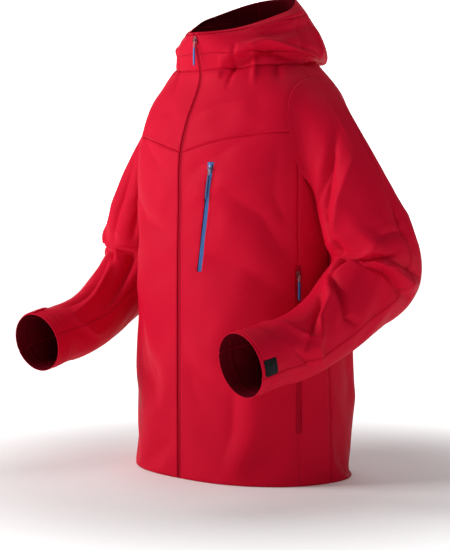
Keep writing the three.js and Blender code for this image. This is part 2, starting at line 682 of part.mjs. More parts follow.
// Hanger loop: a narrow strap bowed inwards at the back of the neck
function addHangerLoop() {
  const low = surfacePoint(180, NECK - 10, CLOTH + 2.2);
  const path = new THREE.CatmullRomCurve3([
    new THREE.Vector3(-26, low.y - 4.2, low.z + 1),
    new THREE.Vector3(-20, low.y - 4.4, low.z - 1.5),
    new THREE.Vector3(-11, low.y - 9, low.z - 8),
    new THREE.Vector3(0, low.y - 12, low.z - 12),
    new THREE.Vector3(11, low.y - 9, low.z - 8),
    new THREE.Vector3(20, low.y - 4.4, low.z - 1.5),
    new THREE.Vector3(26, low.y - 4.2, low.z + 1),
  ]);
  const strap = new THREE.Shape([
    new THREE.Vector2(-2.5, -0.6),
    new THREE.Vector2(2.5, -0.6),
    new THREE.Vector2(2.5, 0.6),
    new THREE.Vector2(-2.5, 0.6),
  ]);
  addMesh('hanger_loop', new THREE.ExtrudeGeometry(strap, { steps: 16, extrudePath: path }), fabric(BLACK));
}

addTorsoPanels();
addHood();
addSleeves();
addZips();
addCuffs();
addHemCord();
addCordLocks();
addHangerLoop();

// Origin under the middle of the bounding box, level with the hem
const bounds = new THREE.Box3().setFromObject(jacket);
const middle = bounds.getCenter(new THREE.Vector3());
jacket.position.set(0, -middle.y, -bounds.min.z);

export default jacket;
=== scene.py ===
"""Looks of the hardshell jacket: sewn shell panels with folds, zips, pullers, cuff tabs and hem trim.
It is laid out as an add-on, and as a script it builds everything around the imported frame.
Lengths are metres, angles are degrees round the body from the centre front to the wearer's left."""
import math

import bmesh
import bpy
import numpy as np
from bpy.props import FloatProperty, FloatVectorProperty, IntProperty, PointerProperty
from mathutils import Matrix, Vector


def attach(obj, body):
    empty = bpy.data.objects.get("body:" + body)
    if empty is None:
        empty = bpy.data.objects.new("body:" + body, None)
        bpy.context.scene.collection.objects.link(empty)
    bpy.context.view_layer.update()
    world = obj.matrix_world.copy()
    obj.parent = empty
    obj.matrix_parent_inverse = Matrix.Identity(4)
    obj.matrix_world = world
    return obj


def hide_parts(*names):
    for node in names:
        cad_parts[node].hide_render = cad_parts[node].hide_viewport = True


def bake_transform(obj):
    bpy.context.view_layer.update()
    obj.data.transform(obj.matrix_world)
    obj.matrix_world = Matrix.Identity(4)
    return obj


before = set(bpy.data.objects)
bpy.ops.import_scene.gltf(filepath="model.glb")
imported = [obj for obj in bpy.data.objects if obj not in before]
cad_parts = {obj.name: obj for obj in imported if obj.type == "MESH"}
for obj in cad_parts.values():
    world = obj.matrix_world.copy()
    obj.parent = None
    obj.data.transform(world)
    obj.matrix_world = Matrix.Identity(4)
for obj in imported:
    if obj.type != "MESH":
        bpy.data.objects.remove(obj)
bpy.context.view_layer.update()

bl_info = {
    "name": "Hardshell jacket",
    "version": (1, 0, 0),
    "blender": (4, 5, 0),
    "location": "3D View > Sidebar > Jacket",
    "description": "Builds a waterproof shell jacket with folds, zips and trim",
    "category": "Add Mesh",
}

# ---------------------------------------------------------------- sizes of the garment
AXIS_Y = 0.05206  # the torso's upright axis stands this far behind the origin
NECK, RIM, YOKE = 0.640, 0.745, 0.520  # stations up the cloth: neck seam, hood rim, yoke seam
COLLAR_TOP, BRIM, HOOD_SEAM = 0.657, 0.723, 150
ZIP_EDGE, SIDE_SEAM, BACK_SEAM = 0.0043, 70, 87
CHEST_ZIP = ((0.323, 16.4), (0.486, 24.3))  # foot and head as station and angle
HAND_ZIP = ((0.131, 70), (0.334, 70))
# station, half width, front and back reach, height at front, side and back, squareness front, back
RINGS = np.array([
    (0, 192, 145, 124, 0, 0, 0, 2.2, 2.2),
    (340, 187, 145, 119, 340, 340, 340, 2.2, 2.2),
    (420, 185, 143, 121, 420, 420, 420, 2.2, 2.2),
    (503, 186, 140, 125, 503, 503, 503, 2.2, 2.2),
    (555, 183, 125, 123, 554, 555, 556, 2.2, 2.2),
    (590, 172, 110, 117, 585, 590, 594, 2.2, 2.2),
    (610, 153, 102, 111, 603, 611, 617, 2.2, 2.2),
    (626, 133, 98, 106, 617, 628, 635, 2.2, 2.2),
    (640, 117, 98, 107, 630, 643, 650, 2.1, 2),
    (652, 115, 102, 120, 650, 654, 651, 2, 2),
    (664, 115, 105, 142, 661, 659, 645, 2, 2),
    (680, 113, 108, 150, 671, 670, 662, 1.8, 2),
    (700, 107, 110, 139, 679, 694, 698, 1.6, 1.8),
    (725, 98, 111.5, 114, 685, 711, 734, 1.45, 1.6),
    (745, 90, 112.5, 93, 688, 722, 757, 1.38, 1.45),
], float)
RINGS[:, :7] /= 1000

# Wearer's left sleeve, in the row frame
ELBOW = np.array((0.258, AXIS_Y + 0.018, 0.322))
ELBOW_AXIS = np.array((0.98851, -0.14435, 0.04483))
ARMHOLE_NORMAL = np.array((0.982, 0.0, 0.187))
ARMHOLE_REACH = 0.2583
SLEEVE_TOP = (0.248, AXIS_Y + 0.005, 0.385)
FOREARM = [(0.250, -0.052, 0.273), (0.245, -0.094, 0.248), (0.240, -0.135, 0.229),
           (0.234, -0.191, 0.213), (0.228, -0.243, 0.202)]
FOREARM = np.array([(x, y + AXIS_Y, z) for x, y, z in FOREARM])
CUFF_RADIUS = 0.0475
CLOTH = 0.0009  # thickness of the outer cloth
ARMHOLE_SPAN = (0.395, 0.64)  # stations between which the armhole lies
RED_COIL = (0.42, 0.004, 0.02)


# ---------------------------------------------------------------- shape of the garment
def ring_values(at):
    """Ring numbers at stations, by a smooth curve through the rings."""
    at = np.clip(np.asarray(at, float), 0, RIM)
    t = RINGS[:, 0]
    i = np.clip(np.searchsorted(t, at, side="right"), 1, len(t) - 1)
    t0, t1 = t[i - 1], t[i]
    first, last = i == 1, i == len(t) - 1
    before = np.where(first, i, i - 2)
    after = np.where(last, i - 1, np.minimum(i + 1, len(t) - 1))
    t_before = np.where(first, 2 * t0 - t1, t[np.maximum(i - 2, 0)])
    t_after = np.where(last, 2 * t1 - t0, t[np.minimum(i + 1, len(t) - 1)])
    half = (t1 - t0) / 2
    wp, wn, p = half / (t0 - t_before), half / (t_after - t1), (at - t0) / (t1 - t0)
    pp, ppp = p * p, p * p * p
    weights = (-wp * ppp + 2 * wp * pp - wp * p,
               (1 + wp) * ppp - (1.5 + 2 * wp) * pp + (wp - 0.5) * p + 1,
               -(1 + wn) * ppp + (1.5 + wn) * pp + 0.5 * p,
               wn * ppp - wn * pp)
    rows = (before, i - 1, i, after)
    return sum(w[..., None] * RINGS[r, 1:] for w, r in zip(weights, rows))


def body_points(at, degrees):
    """Points of the torso and hood at stations and angles."""
    at, degrees = np.broadcast_arrays(np.asarray(at, float), np.asarray(degrees, float))
    half, front, back, z_front, z_side, z_back, square_f, square_b = np.moveaxis(ring_values(at), -1, 0)
    a = np.radians(degrees)
    s, c = np.sin(a), np.cos(a)
    reach, n = np.where(c > 0, front, back), np.where(c > 0, square_f, square_b)
    r = (np.abs(s / half) ** n + np.abs(c / reach) ** n) ** (-1 / n)
    bow = (z_front + z_back - 2 * z_side) / 4
    z = z_side + bow + (z_front - z_back) / 2 * c + bow * np.cos(2 * a)
    return np.stack((r * s, AXIS_Y - r * c, z), -1)


def body_normals(at, degrees):
    across = body_points(at, np.asarray(degrees) + 0.6) - body_points(at, np.asarray(degrees) - 0.6)
    up = body_points(np.asarray(at) + 0.0015, degrees) - body_points(np.asarray(at) - 0.0015, degrees)
    n = np.cross(across, up)
    return n / np.linalg.norm(n, axis=-1, keepdims=True)


def body_at(at, degrees, depth=0.0):
    return body_points(at, degrees) - np.asarray(depth)[..., None] * body_normals(at, degrees)


def yoke_at(degrees):
    """Station of the yoke seam: rising from the zip to the armhole, level across the back."""
    a = np.minimum(degrees, 360 - degrees)
    front = 0.503 + 0.030 * np.sin(np.radians(np.minimum(a * 1.3, 90)))
    blend = np.clip((a - 75) / 40, 0, 1)
    return front + (0.545 - front) * blend * blend * (3 - 2 * blend)


def real_station(nominal, degrees):
    """Rows are straight by their nominal station, and bend so that one of them is the yoke seam."""
    lift = yoke_at(degrees) - YOKE
    fade = np.interp(nominal, (0.40, YOKE, 0.60), (0, 1, 0))
    return nominal + lift * fade


def turn(vectors, axis, angle):
    """Vectors turned about an axis through the origin, one angle each."""
    axis = axis / np.linalg.norm(axis)
    angle = np.asarray(angle)[..., None]
    return (vectors * np.cos(angle) + np.cross(axis, vectors) * np.sin(angle)
            + axis * (vectors @ axis)[..., None] * (1 - np.cos(angle)))


def unit(v):
    return v / np.linalg.norm(v, axis=-1, keepdims=True)


def armhole_loop(turns):
    """Where the sleeve leaves the torso: points at angles round the armhole, 0 outward and 90 forward."""
    found = []
    for at in np.arange(0.395, 0.640, 0.001):
        for span in (np.linspace(30, 90, 121), np.linspace(90, 150, 121)):
            p = body_points(at, span)
            f = p @ ARMHOLE_NORMAL - ARMHOLE_REACH
            k = np.nonzero(f[:-1] * f[1:] < 0)[0]
            for j in k:
                found.append(p[j] + (p[j + 1] - p[j]) * f[j] / (f[j] - f[j + 1]))
    found = np.array(found)
    middle = found.min(0) / 2 + found.max(0) / 2
    upward = unit(np.cross(np.cross(ARMHOLE_NORMAL, (0, 0, 1)), ARMHOLE_NORMAL))
    flat = found - middle
    angle = np.degrees(np.arctan2(-flat[:, 1], flat @ upward)) % 360
    order = np.argsort(angle)
    angle, found = angle[order], found[order]
    angle = np.concatenate((angle - 360, angle, angle + 360))
    found = np.concatenate((found, found, found))
    wanted = np.asarray(turns) % 360
    window = np.exp(-(((wanted[:, None] - angle[None, :]) / 3.0) ** 2))
    return (window @ found) / window.sum(1, keepdims=True)


def sleeve_frame(centre, along):
    """Side and inner directions of a sleeve ring that faces along."""
    side = unit(ELBOW_AXIS - (along @ ELBOW_AXIS)[..., None] * along)
    inner = np.cross(along, side)
    return side, inner


def sleeve_rings():
    """Rings down the sleeve below the armpit: centre, direction, side reach, inner and outer reach."""
    down = unit(ELBOW - np.array(SLEEVE_TOP))
    out = unit(FOREARM[0] - ELBOW)
    down = unit(down - (down @ ELBOW_AXIS) * ELBOW_AXIS)
    out = unit(out - (out @ ELBOW_AXIS) * ELBOW_AXIS)
    bend = math.acos(float(down @ out))
    sign = 1 if (turn(down[None], ELBOW_AXIS, [bend])[0] @ out) > 0.99 else -1
    inner = unit(np.cross(np.cross(down, out), down))
    radius = 0.064
    pivot = ELBOW + unit(inner + turn(inner[None], ELBOW_AXIS, [sign * bend])[0]) * radius / math.cos(bend / 2)
    rings = [(np.array(SLEEVE_TOP), 0.059, 0.070, 0.072)]
    for k in range(9):
        share = k / 8
        n = turn(inner[None], ELBOW_AXIS, [sign * bend * share])[0]
        swell = math.sin(math.pi * share)
        side = np.interp(share, (0, 0.5, 1), (0.063, 0.064, 0.059))
        base = np.interp(share, (0, 0.5, 1), (0.068, 0.066, 0.060))
        inside = np.interp(share, (0, 0.5, 1), (0.061, 0.0575, 0.0575))
        rings.append((pivot - n * radius, side, inside, base + 0.014 * swell))
    for centre, reach in zip(FOREARM, (0.053, 0.049, 0.0475, 0.0475, 0.0475)):
        rings.append((centre, reach, reach, reach))
    return rings


def catmull(values, places):
    """Smooth curve through values at places 0, 1, 2 and so on."""
    v = np.asarray(values, float)
    v = np.concatenate(([2 * v[0] - v[1]], v, [2 * v[-1] - v[-2]]))
    places = np.clip(places, 0, len(v) - 3 - 1e-9)
    i = np.floor(places).astype(int)
    t = (places - i).reshape((-1,) + (1,) * (v.ndim - 1))
    a, b, c, d = v[i], v[i + 1], v[i + 2], v[i + 3]
    return 0.5 * (2 * b + (c - a) * t + (2 * a - 5 * b + 4 * c - d) * t * t + (3 * b - a - 3 * c + d) * t ** 3)


def sleeve_grid(rows_cap, rows_arm, columns):
    """Points of the wearer's left sleeve, its stations down the cloth and its turns round it."""
    turns = np.arange(columns) * 360 / columns
    rings = sleeve_rings()
    centres = np.array([r[0] for r in rings])
    reaches = np.array([r[1:] for r in rings])
    steps = np.concatenate(([0], np.cumsum(np.linalg.norm(np.diff(centres, axis=0), axis=1))))
    fine = np.linspace(0, steps[-1], rows_arm)
    places = np.interp(fine, steps, np.arange(len(steps)))
    centre, reach = catmull(centres, places), catmull(reaches, places)
    along = unit(np.gradient(centre, axis=0))
    side, inner = sleeve_frame(centre, along)
    a = np.radians(turns)
    c, s = np.cos(a)[None, :, None], np.sin(a)[None, :, None]
    deep = np.where(s > 0, reach[:, 1][:, None, None], reach[:, 2][:, None, None])
    arm = centre[:, None] + side[:, None] * c * reach[:, 0][:, None, None] + inner[:, None] * s * deep
    start = armhole_loop(turns)
    height = (start[:, 2] - start[:, 2].min()) / np.ptp(start[:, 2])
    leave = height[:, None] * np.array((0.90, 0, -0.42)) + (1 - height)[:, None] * np.array((0.35, 0, -0.94))
    outward = start - start.mean(0)
    outward = unit(outward * (1, 1.6, 1) + np.array((0.05, 0, 0)))
    leave = leave + np.sin(np.radians(turns))[:, None] * np.array((0, 0.62, 0))
    leave = unit(leave - 0.15 * outward)
    end, arrive = arm[0], np.broadcast_to(along[0], arm[0].shape)
    span = np.linalg.norm(end - start, axis=1, keepdims=True) * 0.92
    t = np.linspace(0, 1, rows_cap + 1)[:-1, None, None]
    cap = ((2 * t ** 3 - 3 * t ** 2 + 1) * start + (t ** 3 - 2 * t ** 2 + t) * leave * span
           + (3 * t ** 2 - 2 * t ** 3) * end + (t ** 3 - t ** 2) * arrive * span)
    points = np.concatenate((cap, arm))
    lengths = np.linalg.norm(np.diff(points, axis=0), axis=2).mean(1)
    stations = np.concatenate(([0], np.cumsum(lengths)))
    return points, stations, turns


# ---------------------------------------------------------------- grids of cloth
def grid_faces(rows, columns, closed):
    """Four-cornered faces of a grid of points, facing outward."""
    r, c = np.meshgrid(np.arange(rows - 1), np.arange(columns if closed else columns - 1), indexing="ij")
    n = (c + 1) % columns
    return np.stack((r * columns + c, r * columns + n, (r + 1) * columns + n, (r + 1) * columns + c), -1).reshape(-1, 4)


def refine_grid(grid, times, closed):
    """The same surface with more rows and columns, smooth through the old ones."""
    rows = catmull(grid, np.arange((len(grid) - 1) * times + 1) / times)
    across = np.moveaxis(rows, 1, 0)
    if closed:
        n = len(across)
        across = np.concatenate((across[-2:], across, across[:3]))
        across = catmull(across, 2 + np.arange(n * times) / times)
    else:
        across = catmull(across, np.arange((len(across) - 1) * times + 1) / times)
    return np.moveaxis(across, 0, 1)


def grid_normals(grid, closed):
    if closed:
        wrapped = np.concatenate((grid[:, -1:], grid, grid[:, :1]), 1)
        across = (wrapped[:, 2:] - wrapped[:, :-2])
    else:
        across = np.gradient(grid, axis=1)
    n = np.cross(across, np.gradient(grid, axis=0))
    return n / np.maximum(np.linalg.norm(n, axis=2, keepdims=True), 1e-12)


def within_reach(home, moved, closed, inward, outward):
    """Moved points, kept within a distance in and out of the surface that they started on."""
    normals = grid_normals(home, closed)
    move = moved - home
    for _ in range(2):
        move[1:-1] = move[1:-1] * 0.5 + (move[2:] + move[:-2]) * 0.25
        if closed:
            move = move * 0.5 + (np.roll(move, 1, 1) + np.roll(move, -1, 1)) * 0.25
        else:
            move[:, 1:-1] = move[:, 1:-1] * 0.5 + (move[:, 2:] + move[:, :-2]) * 0.25
    rise = (move * normals).sum(2)
    kept = np.clip(rise, -inward, outward)
    slide = move - rise[..., None] * normals
    far = np.linalg.norm(slide, axis=2, keepdims=True)
    return home + kept[..., None] * normals + slide * np.minimum(1, 0.012 / np.maximum(far, 1e-9))


def grid_object(name, grid, closed):
    mesh = bpy.data.meshes.new(name)
    faces = grid_faces(grid.shape[0], grid.shape[1], closed)
    mesh.from_pydata(grid.reshape(-1, 3).tolist(), [], faces.tolist())
    mesh.update()
    obj = bpy.data.objects.new(name, mesh)
    bpy.context.scene.collection.objects.link(obj)
    return obj


class Surface:
    """A finished grid of cloth that can be read at any station and angle."""

    def __init__(self, grid, rows, columns, closed):
        self.grid, self.rows, self.columns, self.closed = grid, rows, columns, closed
        self.normals = grid_normals(grid, closed)

    def read(self, at, degrees, rise=0.0):
        at, degrees = np.broadcast_arrays(np.atleast_1d(np.asarray(at, float)), np.asarray(degrees, float))
        r = np.interp(at, self.rows, np.arange(len(self.rows)))
        if self.closed:
            c = (degrees % 360) / 360 * len(self.columns)
        else:
            c = np.interp(degrees, self.columns, np.arange(len(self.columns)))
        i = np.minimum(r.astype(int), len(self.rows) - 2)
        j = c.astype(int) if self.closed else np.minimum(c.astype(int), len(self.columns) - 2)
        j, k = j % len(self.columns), (j + 1) % len(self.columns)
        u, v = (r - i)[:, None], (c - np.floor(c))[:, None] if self.closed else (c - j)[:, None]

        def mix(a):
            return ((1 - u) * ((1 - v) * a[i, j] + v * a[i, k]) + u * ((1 - v) * a[i + 1, j] + v * a[i + 1, k]))
        normal = unit(mix(self.normals))
        return mix(self.grid) + rise * normal, normal


# ---------------------------------------------------------------- folds
def stroke(at, turns, girth, points, width, height, sharp=0.0):
    """Height of one fold on the cloth. points are (station, angle) pairs, girth is metres per degree."""
    x, y = turns * girth, at
    best = np.full(at.shape, 1e9)
    place = np.zeros(at.shape)
    line = np.array([(b * girth, a) for a, b in points])
    total = np.linalg.norm(np.diff(line, axis=0), axis=1).sum()
    done = 0.0
    for p, q in zip(line[:-1], line[1:]):
        d = q - p
        length = np.linalg.norm(d)
        t = np.clip(((x - p[0]) * d[0] + (y - p[1]) * d[1]) / length ** 2, 0, 1)
        away = np.hypot(x - p[0] - t * d[0], y - p[1] - t * d[1])
        closer = away < best
        best = np.where(closer, away, best)
        place = np.where(closer, (done + t * length) / total, place)
        done += length
    taper = np.clip(np.sin(np.pi * (0.06 + 0.88 * place)), 0, 1) ** 0.6
    soft = np.exp(-((best / width) ** 2))
    crisp = np.exp(-(np.sqrt((best / width) ** 2 + 0.01) - 0.1) * 1.25)
    profile = soft * (1 - sharp) + crisp * sharp
    return height * taper * profile


def seam_groove(distance, width=0.0016, depth=0.0009):
    """A sewn seam: a narrow valley with a slight swell of turned cloth beside it."""
    return -depth * np.exp(-((distance / width) ** 2)) + 0.00035 * np.exp(-(((np.abs(distance) - 0.0055) / 0.003) ** 2))


# ---------------------------------------------------------------- simulation
def settle(obj, pins, tight, settings, growth, frames, collider_grid, collider_closed):
    """Lets the cloth grow a little and hang over a hidden body, and returns where its points come to rest."""
    scene = bpy.context.scene
    body = grid_object("hidden_body", collider_grid, collider_closed)
    body.modifiers.new("Collision", "COLLISION")
    body.collision.thickness_outer = 0.002
    body.collision.cloth_friction = 8
    body.hide_render = True
    for name, weights in (("held", pins), ("tight", tight)):
        group = obj.vertex_groups.new(name=name)
        weights = np.round(weights, 1)
        for step in np.unique(weights):
            if step > 0:
                group.add(np.nonzero(weights == step)[0].tolist(), float(step), "REPLACE")
    cloth = obj.modifiers.new("Cloth", "CLOTH")
    s = cloth.settings
    s.quality = settings.quality
    s.mass = 0.08
    s.air_damping = 3
    s.tension_stiffness = s.compression_stiffness = settings.stiffness
    s.shear_stiffness = settings.stiffness * 0.4
    s.bending_stiffness = settings.bending
    s.tension_damping = s.compression_damping = s.shear_damping = 8
    s.bending_damping = 1
    s.vertex_group_mass = "held"
    s.pin_stiffness = 4
    s.vertex_group_shrink = "tight"
    s.shrink_max = 0
    s.shrink_min = -growth
    cloth.collision_settings.distance_min = 0.003
    cloth.collision_settings.collision_quality = 3
    cloth.collision_settings.use_self_collision = False
    cloth.point_cache.frame_start, cloth.point_cache.frame_end = 1, frames
    scene.frame_start, scene.frame_end = 1, frames
    for f in range(1, frames + 1):
        scene.frame_set(f)
    evaluated = obj.evaluated_get(bpy.context.evaluated_depsgraph_get())
    flat = np.empty(len(obj.data.vertices) * 3)
    evaluated.data.vertices.foreach_get("co", flat)
    scene.frame_set(1)
    obj.modifiers.remove(cloth)
    bpy.data.objects.remove(body, do_unlink=True)
    return flat.reshape(-1, 3)


# ---------------------------------------------------------------- materials
def group_tree(name, inputs, outputs):
    """An empty shader node group with its sockets made, and its two end nodes."""
    tree = bpy.data.node_groups.new(name, "ShaderNodeTree")
    for label, kind, value in inputs:
        socket = tree.interface.new_socket(label, in_out="INPUT", socket_type=kind)
        socket.default_value = value
    for label, kind in outputs:
        tree.interface.new_socket(label, in_out="OUTPUT", socket_type=kind)
    return tree, tree.nodes.new("NodeGroupInput"), tree.nodes.new("NodeGroupOutput")


def node(tree, kind, **settings):
    n = tree.nodes.new(kind)
    for key, value in settings.items():
        setattr(n, key, value)
    return n


def maths(tree, kind, a, b=None):
    n = node(tree, "ShaderNodeMath", operation=kind)
    for i, value in enumerate((a, b)):
        if isinstance(value, (int, float)):
            n.inputs[i].default_value = value
        elif value is not None:
            tree.links.new(value, n.inputs[i])
    return n.outputs[0]


def finish_group(tree, start, end, mix, share, unevenness, height):
    """The end of an effect group: its two colours mixed, its roughness varied, its height made a normal."""
    bump = node(tree, "ShaderNodeBump")
    bump.inputs["Distance"].default_value = 0.0001
    rough = maths(tree, "ADD", start.outputs["Roughness"], maths(tree, "MULTIPLY", unevenness, 0.3))
    for source, target in ((share, mix.inputs[0]), (start.outputs[0], mix.inputs[6]), (start.outputs[1], mix.inputs[7]),
                           (mix.outputs[2], end.inputs["Colour"]), (rough, end.inputs["Roughness"]),
                           (start.outputs["Relief"], bump.inputs["Strength"]), (height, bump.inputs["Height"]),
                           (bump.outputs[0], end.inputs["Normal"])):
        tree.links.new(source, target)


def woven_group():
    """Plain weave with a heavier thread every few threads, slight mottling, and its bump."""
    tree, start, end = group_tree("Ripstop weave", (
        ("Colour", "NodeSocketColor", (1, 1, 1, 1)), ("Shade", "NodeSocketColor", (0, 0, 0, 1)),
        ("Thread", "NodeSocketFloat", 0.0006), ("Square", "NodeSocketFloat", 0.005),
        ("Relief", "NodeSocketFloat", 0.3), ("Roughness", "NodeSocketFloat", 0.6),
    ), (("Colour", "NodeSocketColor"), ("Roughness", "NodeSocketFloat"), ("Normal", "NodeSocketVector")))
    uv = node(tree, "ShaderNodeUVMap", uv_map="cloth")
    split = node(tree, "ShaderNodeSeparateXYZ")
    tree.links.new(uv.outputs[0], split.inputs[0])
    heights, lines = [], []
    for axis in (0, 1):
        turned = maths(tree, "DIVIDE", split.outputs[axis], start.outputs["Thread"])
        heights.append(maths(tree, "SINE", maths(tree, "MULTIPLY", turned, math.pi)))
        square = maths(tree, "DIVIDE", split.outputs[axis], start.outputs["Square"])
        near = maths(tree, "ABSOLUTE", maths(tree, "SUBTRACT", maths(tree, "FRACT", square), 0.5))
        lines.append(maths(tree, "GREATER_THAN", near, 0.45))
    weave = maths(tree, "MULTIPLY", heights[0], heights[1])
    heavy = maths(tree, "MAXIMUM", lines[0], lines[1])
    height = maths(tree, "ADD", maths(tree, "MULTIPLY", weave, 0.5), heavy)
    noise = node(tree, "ShaderNodeTexNoise")
    noise.inputs["Scale"].default_value = 9
    noise.inputs["Detail"].default_value = 4
    tree.links.new(uv.outputs[0], noise.inputs["Vector"])
    grain = node(tree, "ShaderNodeTexNoise")
    grain.inputs["Scale"].default_value = 420
    tree.links.new(uv.outputs[0], grain.inputs["Vector"])
    shade = maths(tree, "ADD", maths(tree, "MULTIPLY", maths(tree, "SUBTRACT", noise.outputs[0], 0.5), 0.35),
                  maths(tree, "ADD", maths(tree, "MULTIPLY", weave, 0.05), maths(tree, "MULTIPLY", heavy, 0.06)))
    shade = maths(tree, "ADD", shade, maths(tree, "MULTIPLY", maths(tree, "SUBTRACT", grain.outputs[0], 0.5), 0.2))
    mix = node(tree, "ShaderNodeMix", data_type="RGBA")
    finish_group(tree, start, end, mix, maths(tree, "ADD", shade, 0.12), shade, height)
    return tree


def grained_group():
    """Fine moulded or brushed grain with lighter worn patches, read in the piece's own space."""
    tree, start, end = group_tree("Moulded grain", (
        ("Colour", "NodeSocketColor", (1, 1, 1, 1)), ("Worn", "NodeSocketColor", (1, 1, 1, 1)),
        ("Scale", "NodeSocketFloat", 900.0), ("Relief", "NodeSocketFloat", 0.2),
        ("Roughness", "NodeSocketFloat", 0.5),
    ), (("Colour", "NodeSocketColor"), ("Roughness", "NodeSocketFloat"), ("Normal", "NodeSocketVector")))
    space = node(tree, "ShaderNodeTexCoord")
    grain = node(tree, "ShaderNodeTexNoise")
    grain.inputs["Detail"].default_value = 5
    tree.links.new(space.outputs["Object"], grain.inputs["Vector"])
    tree.links.new(start.outputs["Scale"], grain.inputs["Scale"])
    broad = node(tree, "ShaderNodeTexNoise")
    broad.inputs["Scale"].default_value = 60
    tree.links.new(space.outputs["Object"], broad.inputs["Vector"])
    worn = maths(tree, "MULTIPLY", maths(tree, "SUBTRACT", broad.outputs[0], 0.45), 0.8)
    mix = node(tree, "ShaderNodeMix", data_type="RGBA", clamp_factor=True)
    finish_group(tree, start, end, mix, worn, maths(tree, "SUBTRACT", grain.outputs[0], 0.5), grain.outputs[0])
    return tree


def material(name, group, colour, second, roughness, relief, extra=(), metallic=0.0):
    """A material that takes its colour, roughness and normal from one shared group."""
    made = bpy.data.materials.get(name)
    if made:
        return made
    made = bpy.data.materials.new(name)
    made.use_nodes = True
    tree = made.node_tree
    shader = tree.nodes["Principled BSDF"]
    effect = node(tree, "ShaderNodeGroup")
    build = {"Ripstop weave": woven_group, "Moulded grain": grained_group}[group]
    effect.node_tree = bpy.data.node_groups.get(group) or build()
    effect.inputs[0].default_value = (*colour, 1)
    effect.inputs[1].default_value = (*second, 1)
    effect.inputs["Roughness"].default_value = roughness
    effect.inputs["Relief"].default_value = relief
    for key, value in extra:
        effect.inputs[key].default_value = value
    tree.links.new(effect.outputs["Colour"], shader.inputs["Base Color"])
    tree.links.new(effect.outputs["Roughness"], shader.inputs["Roughness"])
    tree.links.new(effect.outputs["Normal"], shader.inputs["Normal"])
    shader.inputs["Metallic"].default_value = metallic
    shader.inputs["Specular IOR Level"].default_value = 0.5 if metallic or roughness < 0.55 else 0.05
    return made


def shell_material():
    c = bpy.context.scene.jacket_colours
    return material("Outer cloth", "Ripstop weave", c.shell, c.shell_shade, 0.60, 0.25)


def lining_material():
    # Dark red for the pocket bags and storm flap, also put on every inner face of the shell as painted shade.
    c = bpy.context.scene.jacket_colours
    return material("Lining and painted inner shade", "Ripstop weave", c.lining, c.shell_shade, 0.75, 0.3, (("Square", 0.003),))


def tape_material(blue=False):
    c = bpy.context.scene.jacket_colours
    if blue:
        return material("Blue zip film", "Ripstop weave", c.blue, c.blue_shade, 0.45, 0.4, (("Thread", 0.0009),))
    return material("Red zip film", "Ripstop weave", c.zip_red, c.shell_shade, 0.58, 0.4, (("Thread", 0.0009),))


def puller_material(dark=False):
    c = bpy.context.scene.jacket_colours
    if dark:
        return material("Dark puller rubber", "Moulded grain", c.blue_shade, c.blue, 0.5, 0.5, (("Scale", 1500.0),))
    return material("Blue puller rubber", "Moulded grain", c.blue, c.blue_shade, 0.5, 0.5, (("Scale", 1500.0),))


def metal_material(name, colour):
    return material(name, "Moulded grain", colour, (0.50, 0.42, 0.42), 0.35, 0.15, (("Scale", 2500.0),), metallic=0.7)


def coil_material(name, colour):
    dark = tuple(0.6 * x for x in colour)
    return material(name, "Moulded grain", colour, dark, 0.60, 0.15, (("Scale", 2500.0),))


def black_material(name, relief, roughness=0.6):
    c = bpy.context.scene.jacket_colours
    return material(name, "Moulded grain", c.black, (0.05, 0.05, 0.055), roughness, relief, (("Scale", 1400.0),))


# ---------------------------------------------------------------- building helpers
def finish_piece(obj, body, slot, replaces=(), made_of=None):
    if made_of is not None:
        obj.data.materials.clear()
        obj.data.materials.append(made_of)
    obj.data.polygons.foreach_set("use_smooth", [True] * len(obj.data.polygons))
    if body:
        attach(obj, body)
    if replaces:
        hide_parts(*replaces)
    return obj


def new_object(name, bm):
    mesh = bpy.data.meshes.new(name)
    bm.normal_update()
    bm.to_mesh(mesh)
    bm.free()
    obj = bpy.data.objects.new(name, mesh)
    bpy.context.scene.collection.objects.link(obj)
    return obj


def thicken(obj, thickness):
    """Cloth of that thickness, whose inner face takes the dark lining colour as painted shade for the shaded insides of
    the hood, sleeves and hem.
    """
    obj.data.materials.append(lining_material())
    m = obj.modifiers.new("Thickness", "SOLIDIFY")
    m.thickness, m.offset, m.material_offset = thickness, -1, 1
    return obj


def join_rings(bm, rings, closed=False, ends=True):
    """Faces between rings of vertices, with the two ends filled or the last ring joined to the first."""
    n = len(rings[0])
    for a, b in zip(rings if closed else rings[:-1], rings[1:] + rings[:1] if closed else rings[1:]):
        for i in range(n):
            j = (i + 1) % n
            bm.faces.new((a[i], a[j], b[j], b[i]))
    if ends:
        bm.faces.new(rings[0][::-1])
        bm.faces.new(rings[-1])


def strip(name, sections):
    """A long piece from equal profiles along a path, with its ends filled."""
    bm = bmesh.new()
    layer = bm.loops.layers.uv.new("cloth")
    rings = [[bm.verts.new(p) for p in section] for section in sections]
    n = len(rings[0])
    run = 0.0
    for a, b in zip(rings[:-1], rings[1:]):
        step = (b[0].co - a[0].co).length
        for i in range(n):
            j = (i + 1) % n
            f = bm.faces.new((a[i], a[j], b[j], b[i]))
            for loop, (u, v) in zip(f.loops, ((i, run), (i + 1, run), (i + 1, run + step), (i, run + step))):
                loop[layer].uv = (u * 0.002, v)
        run += step
    bm.faces.new(rings[0][::-1])
    bm.faces.new(rings[-1])
    bmesh.ops.recalc_face_normals(bm, faces=bm.faces)
    return new_object(name, bm)


